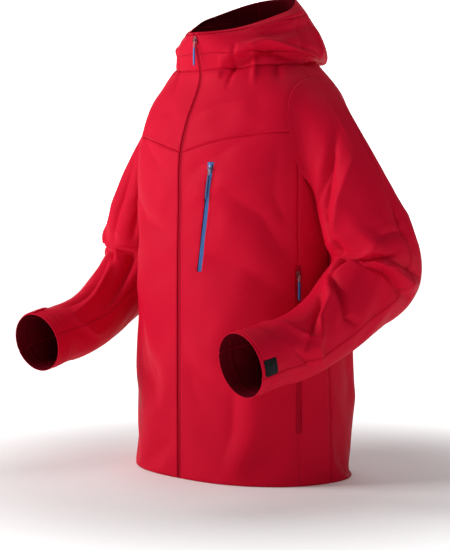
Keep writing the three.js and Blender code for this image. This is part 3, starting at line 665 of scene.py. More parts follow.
def stitches(name, surface, lines, colour_of, body, slot, mirror=False, gap=0.0031):
    """Rows of sewn thread lying on the cloth, one short rounded stitch after another."""
    bm = bmesh.new()
    for line in lines:
        line = np.array(line, float)
        dense = catmull(line, np.linspace(0, len(line) - 1, 40 * len(line)))
        p, n = surface.read(dense[:, 0], dense[:, 1], 0.0002)
        run = np.concatenate(([0], np.cumsum(np.linalg.norm(np.diff(p, axis=0), axis=1))))
        count = max(int(run[-1] / gap), 1)
        for k in range(count):
            s0, s1 = k * gap, k * gap + gap * 0.72
            a = np.array([np.interp(s0, run, p[:, i]) for i in range(3)])
            b = np.array([np.interp(s1, run, p[:, i]) for i in range(3)])
            normal = np.array([np.interp(s0, run, n[:, i]) for i in range(3)])
            along = unit(b - a)
            side = np.cross(along, normal)
            mid = (a + b) / 2 + normal * 0.00022
            ends = [bm.verts.new(a - normal * 0.0002), bm.verts.new(b - normal * 0.0002)]
            ring = [bm.verts.new(mid + side * 0.00028), bm.verts.new(mid + normal * 0.0002),
                    bm.verts.new(mid - side * 0.00028), bm.verts.new(mid - normal * 0.00035)]
            for i in range(4):
                bm.faces.new((ends[0], ring[(i + 1) % 4], ring[i]))
                bm.faces.new((ends[1], ring[i], ring[(i + 1) % 4]))
    if mirror:
        bmesh.ops.scale(bm, vec=(-1, 1, 1), verts=bm.verts)
        bmesh.ops.reverse_faces(bm, faces=bm.faces)
    return finish_piece(new_object(name, bm), body, slot, (), colour_of)


STATE = {}


# ---------------------------------------------------------------- the torso and hood
def torso_columns(step):
    """Angles of the columns: the zip edge, the seams and the back are all columns."""
    edge = math.degrees(math.asin(ZIP_EDGE / 0.145))
    stops = (edge, SIDE_SEAM, BACK_SEAM, HOOD_SEAM, 180)
    half = [edge]
    for a, b in zip(stops[:-1], stops[1:]):
        n = max(round((b - a) / step), 2)
        half += [a + (b - a) * (k + 1) / n for k in range(n)]
    return np.array(half + [360 - a for a in reversed(half[:-1])])


def torso_rows(step):
    stops = (0, 0.13, 0.335, 0.40, YOKE, 0.60, NECK, COLLAR_TOP, BRIM, RIM)
    rows = [0.0]
    for a, b in zip(stops[:-1], stops[1:]):
        n = max(round((b - a) / step), 2)
        rows += [a + (b - a) * (k + 1) / n for k in range(n)]
    return np.array(rows)


def mirrored(at, degrees):
    """Angle from the zip for both sides, 0 to 180."""
    return np.minimum(degrees, 360 - degrees)


# Folds of the body as (points, width, height, side): +1 the wearer's left, -1 the right, 0 both
BODY_FOLDS = [
    # soft diagonals from the zip towards the chest and the armhole
    (((0.470, 6), (0.500, 30), (0.540, 52)), 0.016, -0.0035, 1),
    (((0.430, 10), (0.455, 34), (0.470, 56)), 0.020, 0.0035, 1),
    (((0.560, 6), (0.578, 26), (0.588, 48)), 0.012, 0.0030, 1),
    (((0.400, 64), (0.440, 58), (0.500, 60)), 0.010, -0.0045, 1),
    (((0.360, 62), (0.410, 52), (0.440, 34)), 0.014, -0.0030, 1),
    (((0.350, 20), (0.330, 44), (0.300, 62)), 0.020, -0.0030, 1),
    (((0.230, 12), (0.200, 36), (0.215, 60)), 0.024, 0.0028, 1),
    (((0.060, 30), (0.130, 36), (0.240, 40)), 0.020, -0.0028, 1),
    (((0.470, 8), (0.500, 32), (0.530, 50)), 0.016, -0.0035, -1),
    (((0.380, 12), (0.400, 36), (0.440, 54)), 0.018, -0.0035, -1),
    (((0.150, 16), (0.220, 40), (0.300, 58)), 0.022, -0.0030, -1),
    # back: drags from the shoulder blades down, and across the small of the back
    (((0.520, 100), (0.470, 130), (0.400, 150)), 0.018, -0.0050, 0),
    (((0.420, 96), (0.360, 128), (0.330, 168)), 0.020, -0.0045, 0),
    (((0.300, 100), (0.260, 140), (0.250, 176)), 0.022, -0.0050, 0),
    (((0.180, 110), (0.120, 140), (0.070, 150)), 0.022, 0.0040, 0),
    # the hood's edge rolls over the collar, with a deep shadow line under it
    (((0.648, 24), (0.661, 42), (0.677, 60), (0.666, 86), (0.660, 120)), 0.0075, 0.0090, 1),
    (((0.634, 24), (0.646, 42), (0.660, 60), (0.648, 84), (0.640, 104)), 0.0075, -0.0120, 1),
    (((0.677, 72), (0.666, 92), (0.660, 120)), 0.0085, 0.0060, -1),
    (((0.656, 72), (0.648, 88), (0.640, 110)), 0.0085, -0.0080, -1),
    (((0.470, 73), (0.449, 77), (0.428, 81)), 0.0050, -0.0045, 0),
    # collar base
    (((0.612, 30), (0.640, 34), (0.668, 36)), 0.006, -0.0040, 1),
    (((0.616, 50), (0.642, 52), (0.666, 50)), 0.006, 0.0040, 1),
    (((0.620, 66), (0.643, 70), (0.662, 74)), 0.007, -0.0040, 1),
    (((0.612, 34), (0.640, 38), (0.668, 40)), 0.007, -0.0040, -1),
    (((0.618, 60), (0.642, 62), (0.662, 60)), 0.007, 0.0035, -1),
    # hood: loose rolls round the side and back
    (((0.672, 40), (0.684, 80), (0.676, 130)), 0.008, 0.0050, 0),
    (((0.690, 60), (0.705, 100), (0.712, 150)), 0.008, -0.0055, 0),
    (((0.716, 50), (0.728, 90), (0.730, 120)), 0.006, 0.0035, 0),
    (((0.660, 90), (0.690, 96), (0.720, 100)), 0.009, -0.0045, 0),
    (((0.664, 120), (0.690, 124), (0.715, 128)), 0.010, 0.0045, 0),
    (((0.668, 165), (0.695, 160), (0.722, 165)), 0.010, -0.0040, 0),
]


def add_folds(grid, at, degrees, folds, girth, closed, sharp=0.0):
    normals = grid_normals(grid, closed)
    lift = np.zeros(grid.shape[:2])
    for points, width, height, side in folds:
        for sign in ((1, -1) if side == 0 else (side,)):
            line = [(a, d if sign > 0 else 360 - d) for a, d in points]
            lift += stroke(at, degrees, girth, line, width, height, sharp)
    return grid + lift[..., None] * normals


def build_torso():
    """The hanging cloth of the torso and hood as one fine grid."""
    sizes = bpy.context.scene.jacket_cloth
    rows, columns = torso_rows(0.0095), torso_columns(3.1)
    nominal, degrees = np.meshgrid(rows, columns, indexing="ij")
    at = real_station(nominal, degrees)
    home = body_points(at, degrees)
    girth = 0.0029
    body_folds = [f for f in BODY_FOLDS if f[0][0][0] < 0.605]
    shaped = add_folds(home, at, degrees, body_folds, girth, False)
    from_zip = mirrored(at, degrees)
    hold = np.zeros(at.shape)
    hold[:, :2] = hold[:, -2:] = 1
    hold[:1] = hold[-1:] = 1
    hold[1] = 0.6
    plane = np.abs(home[..., 0]) * ARMHOLE_NORMAL[0] + home[..., 2] * ARMHOLE_NORMAL[2] - ARMHOLE_REACH
    hold = np.maximum(hold, (plane > -0.006) & (at > ARMHOLE_SPAN[0]) & (at < ARMHOLE_SPAN[1]))
    for (a0, d0), (a1, d1), both in ((*CHEST_ZIP, False), (*HAND_ZIP, True)):
        line = d0 + (d1 - d0) * np.clip((at - a0) / (a1 - a0), 0, 1)
        near = (np.abs(from_zip - line) < 4.5) & (at > a0 - 0.012) & (at < a1 + 0.012)
        hold = np.maximum(hold, near if both else near & (degrees < 180))
    keep = np.maximum(hold, 0)[..., None]
    shaped = home * np.minimum(keep, 1) + shaped * (1 - np.minimum(keep, 1))
    hold = np.maximum(hold, np.clip((at - 0.590) / 0.035, 0, 1))
    settled = shaped
    obj = grid_object("torso_cloth", shaped, False)
    inner = body_at(np.clip(at, 0, 0.70), degrees, 0.012 + 0.006 * np.sin(np.radians(at * 2400 + degrees * 3)))
    inner = np.concatenate((inner, inner[:, :1]), 1)
    tight = np.clip((at - 0.42) / 0.12, 0, 1)
    rest = settle(obj, hold.ravel(), tight.ravel(), sizes, sizes.growth, sizes.frames, inner, False)
    settled = rest.reshape(shaped.shape)
    bpy.data.objects.remove(obj, do_unlink=True)
    settled = within_reach(home, settled, False, np.where(at > 0.60, 0.013, 0.0038), 0.014)
    fine = refine_grid(settled, 3, False)
    fine_rows = np.interp(np.arange(len(fine)) / 3, np.arange(len(rows)), rows)
    fine_columns = np.interp(np.arange(fine.shape[1]) / 3, np.arange(len(columns)), columns)
    nominal, degrees = np.meshgrid(fine_rows, fine_columns, indexing="ij")
    at = real_station(nominal, degrees)
    crisp = [(line, width * 0.5, height * 0.6, side) for line, width, height, side in body_folds]
    free = np.clip(np.minimum(mirrored(at, degrees) / 9 - 0.6, (0.60 - at) / 0.02), 0, 1)[..., None]
    fine = fine + (add_folds(fine, at, degrees, crisp, girth, False, 0.8) - fine) * free
    fine = add_folds(fine, at, degrees, [f for f in BODY_FOLDS if f[0][0][0] >= 0.605], girth, False)
    normals = grid_normals(fine, False)
    side = mirrored(at, degrees)
    lift = np.zeros(at.shape)
    lift += np.where(nominal < 0.64, seam_groove(nominal - YOKE), 0)
    lift += seam_groove(nominal - NECK, 0.002, 0.0015) * np.clip((side - 30) / 25, 0.3, 1)
    lift += np.where(nominal < YOKE, seam_groove((side - BACK_SEAM) * 0.003), 0)
    lift += np.where((nominal < YOKE) & (nominal > 0.345), seam_groove((side - SIDE_SEAM) * 0.003), 0)
    lift += np.where(nominal > NECK, seam_groove((side - HOOD_SEAM) * 0.002), 0)
    lift += np.where(side < 124, seam_groove(nominal - BRIM), 0)
    lift += seam_groove(nominal - 0.018, 0.0014, 0.0006)
    fine = fine + lift[..., None] * normals
    fine[..., 2] = np.maximum(fine[..., 2], 0.0004)
    STATE["torso"] = Surface(fine, fine_rows, fine_columns, False)
    return fine, nominal, degrees, at


def nominal_of(at, degrees):
    """Nominal row for a real station."""
    lift = yoke_at(degrees) - YOKE
    guess = np.asarray(at, float).copy()
    for _ in range(6):
        guess = at - lift * np.interp(guess, (0.40, YOKE, 0.60), (0, 1, 0))
    return guess


def cut_region(bm, layer, test, point, normal):
    """Splits the faces that pass the test along a line drawn in station and angle."""
    faces = [f for f in bm.faces if test(f)]
    verts = {v for f in faces for v in f.verts}
    edges = {e for f in faces for e in f.edges}
    store = bm.verts.layers.float_vector["place"]
    old = set(bm.verts)
    for v in verts:
        v[store] = v.co
        v.co = v[layer]
    bmesh.ops.bisect_plane(bm, geom=list(verts) + list(edges) + faces, dist=1e-7,
                           plane_co=point, plane_no=normal)
    for v in list(verts) + [v for v in bm.verts if v not in old]:
        v.co = v[store]


def panel_objects(bm, name_of):
    """Separate objects from one cut mesh, one for each name given to its faces."""
    names = {}
    for f in bm.faces:
        names.setdefault(name_of(f), []).append(f.index)
    made = {}
    for name, members in sorted(names.items(), key=lambda x: str(x[0])):
        if name is None:
            continue
        part = bm.copy()
        part.faces.ensure_lookup_table()
        members = set(members)
        bmesh.ops.delete(part, geom=[f for f in part.faces if f.index not in members], context="FACES")
        made[name] = new_object(name, part)
    return made


def cloth_mesh(grid, at, degrees, girth, closed):
    """A mesh of a fine grid that remembers the station and angle of its points, from which its weave map is made later.
    """
    bm = bmesh.new()
    place = bm.verts.layers.float_vector.new("station")
    bm.verts.layers.float_vector.new("place")
    flat, across, up = grid.reshape(-1, 3), degrees.ravel() * girth, at.ravel()
    verts = [bm.verts.new(p) for p in flat]
    for v, x, y in zip(verts, up, across):
        v[place] = (x, y, 0)
    for f in grid_faces(grid.shape[0], grid.shape[1], closed):
        bm.faces.new([verts[i] for i in f])
    bm.faces.index_update()
    return bm, place


def map_weave(obj, girth, wrap=0.0):
    """Lays the weave along the cloth: one unit of the map is a metre."""
    layer = obj.data.attributes["station"]
    values = np.empty(len(obj.data.vertices) * 3)
    layer.data.foreach_get("vector", values)
    values = values.reshape(-1, 3)
    corner = np.empty(len(obj.data.loops), int)
    obj.data.loops.foreach_get("vertex_index", corner)
    uv = values[corner][:, (1, 0)].copy()
    if wrap:
        starts = np.empty(len(obj.data.polygons), int)
        totals = np.empty(len(obj.data.polygons), int)
        obj.data.polygons.foreach_get("loop_start", starts)
        obj.data.polygons.foreach_get("loop_total", totals)
        face = np.repeat(np.arange(len(starts)), totals)
        high = np.maximum.reduceat(uv[:, 0], starts)
        uv[:, 0] += wrap * (high[face] - uv[:, 0] > wrap / 2)
    made = obj.data.uv_layers.new(name="cloth")
    made.data.foreach_set("uv", uv.ravel())
    for name in ("station", "place"):
        obj.data.attributes.remove(obj.data.attributes[name])


def declare_panel(obj):
    """Works out a sheet's area and the width and length of its weave map, and keeps none of them. Its flat area is the
    finished mesh's own, not the size it was cut to.
    """
    area = sum(p.area for p in obj.data.polygons)
    uv = np.empty(len(obj.data.loops) * 2)
    obj.data.uv_layers["cloth"].data.foreach_get("uv", uv)
    uv = uv.reshape(-1, 2)
    width, length = np.ptp(uv[:, 0]), np.ptp(uv[:, 1])
    length = max(length, area / width * 1.03)


TORSO_GIRTH = 0.003


def torso_panel_name(at, nominal, degrees):
    side = "left" if degrees < 180 else "right"
    a = min(degrees, 360 - degrees)
    if nominal > NECK:
        if nominal < COLLAR_TOP and a < 100:
            return f"collar_{side}"
        if nominal > BRIM and a < 124:
            return "hood_brim_" + side
        return "hood_centre" if a > HOOD_SEAM else f"hood_side_{side}"
    if nominal > YOKE:
        return f"front_yoke_{side}" if a < BACK_SEAM else "back_yoke"
    if a > BACK_SEAM:
        return "back_panel"
    return f"side_panel_{side}" if a > SIDE_SEAM else f"front_panel_{side}"


def in_slot(at, degrees, foot, head, half):
    line = foot[1] + (head[1] - foot[1]) * (at - foot[0]) / (head[0] - foot[0])
    return foot[0] < at < head[0] and abs(degrees - line) < half


class JACKET_OT_torso(bpy.types.Operator):
    """Build the shell panels of the torso, the collar and the hood"""
    bl_idname = "jacket.torso"
    bl_label = "Torso and hood"

    def execute(self, context):
        grid, nominal, degrees, at = build_torso()
        plane = np.abs(grid[..., 0]) * ARMHOLE_NORMAL[0] + grid[..., 2] * ARMHOLE_NORMAL[2] - ARMHOLE_REACH
        near = np.clip((plane + 0.004) / 0.005, 0, 1) * ((at > ARMHOLE_SPAN[0]) & (at < ARMHOLE_SPAN[1]))
        grid = grid - (0.0013 * near)[..., None] * grid_normals(grid, False)
        bm, layer = cloth_mesh(grid, at, degrees, TORSO_GIRTH, False)
        ends = []
        for (foot, head), mirror in ((CHEST_ZIP, False), (HAND_ZIP, False), (HAND_ZIP, True)):
            middle = (foot[0] + head[0]) / 2, (foot[1] + head[1]) / 2
            wide = np.linalg.norm(body_points(middle[0], middle[1] + 0.5) - body_points(middle[0], middle[1] - 0.5))
            half = ZIP_EDGE / wide
            if mirror:
                foot, head = (foot[0], 360 - foot[1]), (head[0], 360 - head[1])
            ends.append((foot, head, half))

            def close(f, foot=foot, head=head, half=half):
                c = sum((v[layer] for v in f.verts), Vector()) / len(f.verts)
                return in_slot(c[0], c[1] / TORSO_GIRTH, (foot[0] - 0.01, foot[1]), (head[0] + 0.01, head[1]), half + 5)
            along = Vector((head[0] - foot[0], (head[1] - foot[1]) * TORSO_GIRTH, 0))
            across = Vector((-along.y, along.x, 0)).normalized()
            for sign in (-1, 1):
                start = Vector((foot[0], (foot[1] + sign * half) * TORSO_GIRTH, 0))
                cut_region(bm, layer, close, start, across)
            for end in (foot, head):
                cut_region(bm, layer, close, Vector((end[0], end[1] * TORSO_GIRTH, 0)), Vector((1, 0, 0)))
        for sign in (1, -1):
            normal = Vector((sign * ARMHOLE_NORMAL[0], 0, ARMHOLE_NORMAL[2]))
            faces = [f for f in bm.faces if sign * f.calc_center_median().x > 0.09
                     and 0.385 < f.calc_center_median().z < 0.65 and f.verts[0][layer][0] < 0.64]
            geom = list({v for f in faces for v in f.verts}) + list({e for f in faces for e in f.edges}) + faces
            reach = ARMHOLE_REACH + 0.0012
            bmesh.ops.bisect_plane(bm, geom=geom, dist=1e-7, plane_co=normal * reach, plane_no=normal)
            beyond = [f for f in bm.faces if f.calc_center_median().dot(normal) > reach
                      and 0.385 < f.calc_center_median().z < 0.66 and f.verts[0][layer][0] < 0.64]
            bmesh.ops.delete(bm, geom=beyond, context="FACES")
        bm.faces.index_update()

        def name_of(f):
            c = sum((v[layer] for v in f.verts), Vector()) / len(f.verts)
            real, angle = c[0], c[1] / TORSO_GIRTH
            for foot, head, half in ends:
                if in_slot(real, angle, foot, head, half):
                    return None
            return torso_panel_name(real, float(nominal_of(real, angle)), angle)
        made = panel_objects(bm, name_of)
        bm.free()
        for name, obj in made.items():
            map_weave(obj, TORSO_GIRTH)
            nodes = ("hood_brim",) if name == "hood_brim_left" else () if name == "hood_brim_right" else (name,)
            finish_piece(obj, "jacket", "shell_fabric", nodes, shell_material())
            thicken(obj, CLOTH)
            obj.name = "cloth_" + name
            declare_panel(obj)
        if not made:
            raise RuntimeError("the torso has no panels")
        return {"FINISHED"}


# ---------------------------------------------------------------- sleeves
SLEEVE_SEAMS = (338, 158)
# Folds of a sleeve: (station, turn) points, width, height
SLEEVE_FOLDS = {
    "left": [
        # the cloth piles up inside the elbow and runs round to the point of it
        (((0.292, 96), (0.240, 66), (0.198, 48), (0.183, 26)), 0.0085, 0.0085),
        (((0.296, 90), (0.250, 60), (0.214, 40), (0.202, 12)), 0.0055, -0.0090),
        (((0.298, 80), (0.258, 55), (0.234, 40), (0.228, 4)), 0.0080, 0.0080),
        (((0.262, 50), (0.249, 24), (0.253, -11), (0.246, -45)), 0.0055, -0.0080),
        (((0.236, 22), (0.238, -10), (0.234, -42)), 0.0080, 0.0060),
        (((0.216, 12), (0.219, -15), (0.224, -46)), 0.0055, -0.0065),
        (((0.183, 32), (0.179, 4), (0.183, -26)), 0.0065, -0.0050),
        (((0.300, 92), (0.322, 62), (0.345, 13), (0.337, -8)), 0.0055, -0.0075),
        (((0.308, 90), (0.336, 60), (0.362, 18)), 0.0080, 0.0050),
        # forearm
        (((0.330, 74), (0.346, 54), (0.384, 39), (0.415, 0), (0.409, -28)), 0.0070, 0.0055),
        (((0.350, 74), (0.368, 58), (0.402, 38), (0.434, 6)), 0.0050, -0.0055),
        (((0.467, 95), (0.443, 52), (0.433, 34), (0.407, 12)), 0.0060, 0.0040),
        (((0.452, 95), (0.428, 56), (0.419, 38)), 0.0045, -0.0040),
        (((0.452, 8), (0.430, -30)), 0.0045, -0.0030),
        # upper arm
        (((0.066, 16), (0.096, 52), (0.134, 88)), 0.0100, -0.0065),
        (((0.098, 12), (0.124, 48), (0.160, 84)), 0.0110, 0.0055),
        (((0.082, 34), (0.090, 60), (0.094, 96)), 0.0075, -0.0060),
        (((0.122, 84), (0.200, 86), (0.276, 80)), 0.0070, -0.0065),
        (((0.120, -30), (0.170, -20), (0.205, -34)), 0.0120, -0.0045),
    ],
    "right": [
        (((0.066, 36), (0.119, 64), (0.180, 75)), 0.0120, -0.0055),
        (((0.060, 62), (0.083, 104), (0.166, 114)), 0.0100, -0.0055),
        (((0.292, 96), (0.240, 66), (0.198, 48), (0.183, 26)), 0.0090, 0.0070),
        (((0.296, 90), (0.250, 60), (0.214, 40), (0.202, 12)), 0.0065, -0.0075),
        (((0.262, 50), (0.249, 24), (0.253, -11), (0.246, -45)), 0.0065, -0.0060),
        (((0.247, 112), (0.319, 131), (0.379, 146)), 0.0080, -0.0065),
        (((0.290, 74), (0.386, 98), (0.446, 105)), 0.0090, -0.0050),
        (((0.310, 96), (0.392, 118), (0.450, 128)), 0.0090, 0.0045),
        (((0.480, 110), (0.462, 150), (0.425, 190)), 0.0080, 0.0045),
    ],
}
SLEEVE_GIRTH = 0.00105


def crowding(grid):
    """1 where a sleeve's rows are apart, less where they crowd together inside the elbow."""
    gap = np.linalg.norm(np.gradient(grid, axis=0), axis=2)
    ratio = np.clip(gap / np.median(gap, axis=1, keepdims=True), 0, 1)
    return np.clip((ratio - 0.12) / 0.5, 0.08, 1)


def sleeve_lift(side, at, degrees, broad, sharp):
    """How far the folds of a sleeve stand out of it."""
    lift = np.zeros(at.shape)
    for points, width, height in SLEEVE_FOLDS[side]:
        for shift in (0, 360):
            lift += stroke(at, degrees, SLEEVE_GIRTH, [(a, d + shift) for a, d in points],
                           width * broad, height, sharp)
    return lift


def build_sleeve(side):
    """The hanging cloth of one sleeve, in the wearer's left sleeve's place."""
    sizes = bpy.context.scene.jacket_cloth
    home, stations, turns = sleeve_grid(30, 46, 56)
    at, degrees = np.meshgrid(stations, turns, indexing="ij")
    ease = (1 - crowding(home))[1:-1, :, None] * 0.5
    for _ in range(14):
        home[1:-1] += ease * ((home[2:] + home[:-2]) / 2 - home[1:-1])
    rows = np.arange(len(stations))[:, None]
    near_body = np.clip(1 - np.abs(degrees - 180) / 45, 0, 1) * (rows < 50)
    lift = 0.6 * sleeve_lift(side, at, degrees, 1.2, 0.0) * (1 - 0.85 * near_body)
    crowd = crowding(home)
    shaped = home + (lift * crowd)[..., None] * grid_normals(home, True)
    hold = 1 - crowd
    hold[:2] = 1
    hold[-5:] = 1
    hold = np.maximum(hold, 0.6 * near_body * (near_body > 0.3))
    settled = shaped
    obj = grid_object("sleeve_cloth", shaped, True)
    inner = home - 0.009 * grid_normals(home, True)
    tight = np.clip(np.abs(at - 0.27) / 0.16 - 0.3, 0, 1)
    rest = settle(obj, hold.ravel(), tight.ravel(), sizes, sizes.sleeve_growth, sizes.frames, inner, True)
    settled = rest.reshape(shaped.shape)
    bpy.data.objects.remove(obj, do_unlink=True)
    limit = 0.016 * (1 - 0.8 * near_body) * crowd
    settled = within_reach(home, settled, True, limit, limit)
    fine = refine_grid(settled, 3, True)
    fine_rows = np.interp(np.arange(len(fine)) / 3, np.arange(len(stations)), stations)
    fine_turns = np.arange(fine.shape[1]) * 360 / fine.shape[1]
    at, degrees = np.meshgrid(fine_rows, fine_turns, indexing="ij")
    near_body = np.clip(1 - np.abs(degrees - 180) / 45, 0, 1) * (at < 0.30)
    lift = 1.45 * sleeve_lift(side, at, degrees, 0.85, 0.85) * (1 - 0.85 * near_body)
    lift = lift * crowding(fine)
    lift += seam_groove(at - stations[-1] + 0.022, 0.0014, 0.0006)
    for seam in SLEEVE_SEAMS:
        apart = (degrees - seam + 180) % 360 - 180
        lift = lift + seam_groove(apart * SLEEVE_GIRTH)
    lift[:3] *= 0
    fine = fine + lift[..., None] * grid_normals(fine, True)
    return fine, fine_rows, fine_turns


def follow_elbow(obj, side):
    """Bakes the piece's placement into its mesh; the cloth does not bend at the elbow."""
    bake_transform(obj)


class JACKET_OT_sleeves(bpy.types.Operator):
    """Build both sleeves, each in a front and a back piece"""
    bl_idname = "jacket.sleeves"
    bl_label = "Sleeves"

    def execute(self, context):
        for side in ("left", "right"):
            fine, rows, turns = build_sleeve(side)
            STATE["sleeve_" + side] = Surface(fine, rows, turns, True)
            at, degrees = np.meshgrid(rows, turns, indexing="ij")
            bm, layer = cloth_mesh(fine, at, degrees, SLEEVE_GIRTH, True)
            columns = len(turns)
            first, second = sorted(SLEEVE_SEAMS)

            def name_of(f, first=first, second=second, columns=columns):
                c = (f.index % columns + 0.5) * 360 / columns
                return "front" if not first < c < second else "back"
            made = panel_objects(bm, name_of)
            bm.free()
            for name, obj in made.items():
                map_weave(obj, SLEEVE_GIRTH, 360 * SLEEVE_GIRTH)
                if side == "right":
                    flip = bmesh.new()
                    flip.from_mesh(obj.data)
                    bmesh.ops.scale(flip, vec=(-1, 1, 1), verts=flip.verts)
                    bmesh.ops.reverse_faces(flip, faces=flip.faces)
                    flip.to_mesh(obj.data)
                    flip.free()
                lower = "inner" if name == "front" else "outer"
                nodes = (f"sleeve_upper_{name}_{side}", f"forearm_{lower}_{side}")
                finish_piece(obj, None, "shell_fabric", nodes, shell_material())
                obj.name = f"cloth_sleeve_{name}_{side}"
                follow_elbow(obj, side)
                thicken(obj, CLOTH)
                declare_panel(obj)
        return {"FINISHED"}


# ---------------------------------------------------------------- seams
def level(at, a, b, n=14):
    return [(at, d) for d in np.linspace(a, b, n)]


def upright(degrees, a, b, n=12):
    return [(s, degrees) for s in np.linspace(a, b, n)]


class JACKET_OT_stitching(bpy.types.Operator):
    """Sew the rows of stitches beside the seams, zips, hem and cuffs"""
    bl_idname = "jacket.stitching"
    bl_label = "Stitching"

    def execute(self, context):
        torso = STATE["torso"]
        edge = torso.columns[0]
        lines = []
        for mirror in (False, True):
            def both(points, mirror=mirror):
                return [(a, 360 - d if mirror else d) for a, d in points]
            for rise in (0.0022, 0.0052):
                lines.append(both(level(YOKE + rise, edge + 2, 66, 10)))
                lines.append(both(level(YOKE + rise, 114, 178, 8)))
                lines.append(both(level(0.018 + rise, edge + 2, 178, 40)))
                lines.append(both(level(BRIM + rise, edge + 2, 122, 20)))
                lines.append(both(level(NECK - rise, edge + 2, 178, 20)))
                lines.append(both(upright(HOOD_SEAM + rise / 0.0024, NECK + 0.006, RIM - 0.003)))
                lines.append(both(upright(BACK_SEAM + rise / 0.0028, 0.02, 0.41)))
            lines.append(both(upright(edge + 1.1, 0.01, 0.735, 40)))
            for out in (2.2, 3.4):
                lines.append(both(upright(SIDE_SEAM - out, HAND_ZIP[0][0] - 0.004, HAND_ZIP[1][0] + 0.004)))
            lines.append(both(upright(SIDE_SEAM + 2.2, HAND_ZIP[0][0] - 0.004, HAND_ZIP[1][0] + 0.004)))
        (a0, d0), (a1, d1) = CHEST_ZIP
        for out in (-2.9, 2.9):
            lines.append([(a, out + d0 + (d1 - d0) * (a - a0) / (a1 - a0)) for a in np.linspace(a0, a1, 10)])
        stitches("stitching_torso", torso, lines, thread_material(), "jacket", "shell_fabric")
        for side in ("left", "right"):
            surface = STATE["sleeve_" + side]
            end = surface.rows[-1]
            rows = []
            for rise in (0.0022, 0.0048):
                for seam in SLEEVE_SEAMS:
                    rows.append([(a, seam + rise / SLEEVE_GIRTH) for a in np.linspace(0.004, end - 0.004, 40)])
                rows.append([(end - 0.022 + rise, d) for d in np.linspace(0, 360, 24)])
            rows.append([(0.0025, d) for d in np.linspace(0, 360, 40)])
            obj = stitches(f"stitching_sleeve_{side}", surface, rows, thread_material(), None, "shell_fabric",
                           mirror=side == "right")
            follow_elbow(obj, side)
        return {"FINISHED"}


def thread_material():
    c = bpy.context.scene.jacket_colours
    return material("Sewing thread", "Moulded grain", c.thread, c.shell, 0.6, 0.3, (("Scale", 3000.0),))


# ---------------------------------------------------------------- zips
def zip_film(name, path, inner, outer, depths, body, slot, nodes, made_of, sign):
    """One half of a zip: woven tape with a smooth film edge that rises over the teeth."""
    stations = np.array([p[0] for p in path])
    centre = np.array([p[1] for p in path])
    profile = [(inner, depths[0]), (0.0018, depths[1]), (0.0031, depths[2]), (outer, depths[3])]
    sections = []
    outline = profile + [(x, d + 0.0007) for x, d in reversed(profile)]
    wide = np.linalg.norm(body_points(stations, centre + 0.5) - body_points(stations, centre - 0.5), axis=1)
    rings = [body_at(stations, centre + sign * x / wide, d) for x, d in outline]
    for k in range(len(stations)):
        sections.append([r[k] for r in rings])
    obj = strip(name, sections)
    return finish_piece(obj, body, slot, nodes, made_of)


def path_between(foot, head, count):
    return [(foot[0] + (head[0] - foot[0]) * t, foot[1] + (head[1] - foot[1]) * t) for t in np.linspace(0, 1, count)]


def toothed_row(name, path, body, slot, nodes, made_of, pitch=0.0016):
    """The row of moulded teeth behind the film."""
    bm = bmesh.new()
    stations = np.array([p[0] for p in path])
    run = np.arange(stations[0] + 0.002, stations[-1] - 0.002, pitch)
    angles = np.interp(run, stations, [p[1] for p in path])
    points, normals = body_at(run, angles, 0.0031), body_normals(run, angles)
    ahead = unit(np.gradient(points, axis=0))
    across = np.cross(ahead, normals)
    for k, (p, n, a, x) in enumerate(zip(points, normals, ahead, across)):
        shift = 0.0007 if k % 2 else -0.0007
        m = Matrix((Vector(x) * 0.0030, Vector(a) * 0.0011, Vector(n) * 0.0010)).transposed().to_4x4()
        m.translation = Vector(p + x * shift)
        bmesh.ops.create_cube(bm, size=1.0, matrix=m)
    return finish_piece(new_object(name, bm), body, slot, nodes, made_of)


def facing_strip(name, a0, a1, d0, d1, depth, thickness, nodes, made_of, slot, rows=40, columns=12):
    """A hidden sheet that follows the inside of the torso."""
    at, degrees = np.meshgrid(np.linspace(a0, a1, rows), np.linspace(d0, d1, columns), indexing="ij")
    grid = body_at(at, degrees, depth)
    bm, _ = cloth_mesh(grid, at, degrees, TORSO_GIRTH, False)
    obj = new_object(name, bm)
    map_weave(obj, TORSO_GIRTH)
    finish_piece(obj, "jacket", slot, nodes, made_of)
    thicken(obj, thickness)
    declare_panel(obj)
    return obj


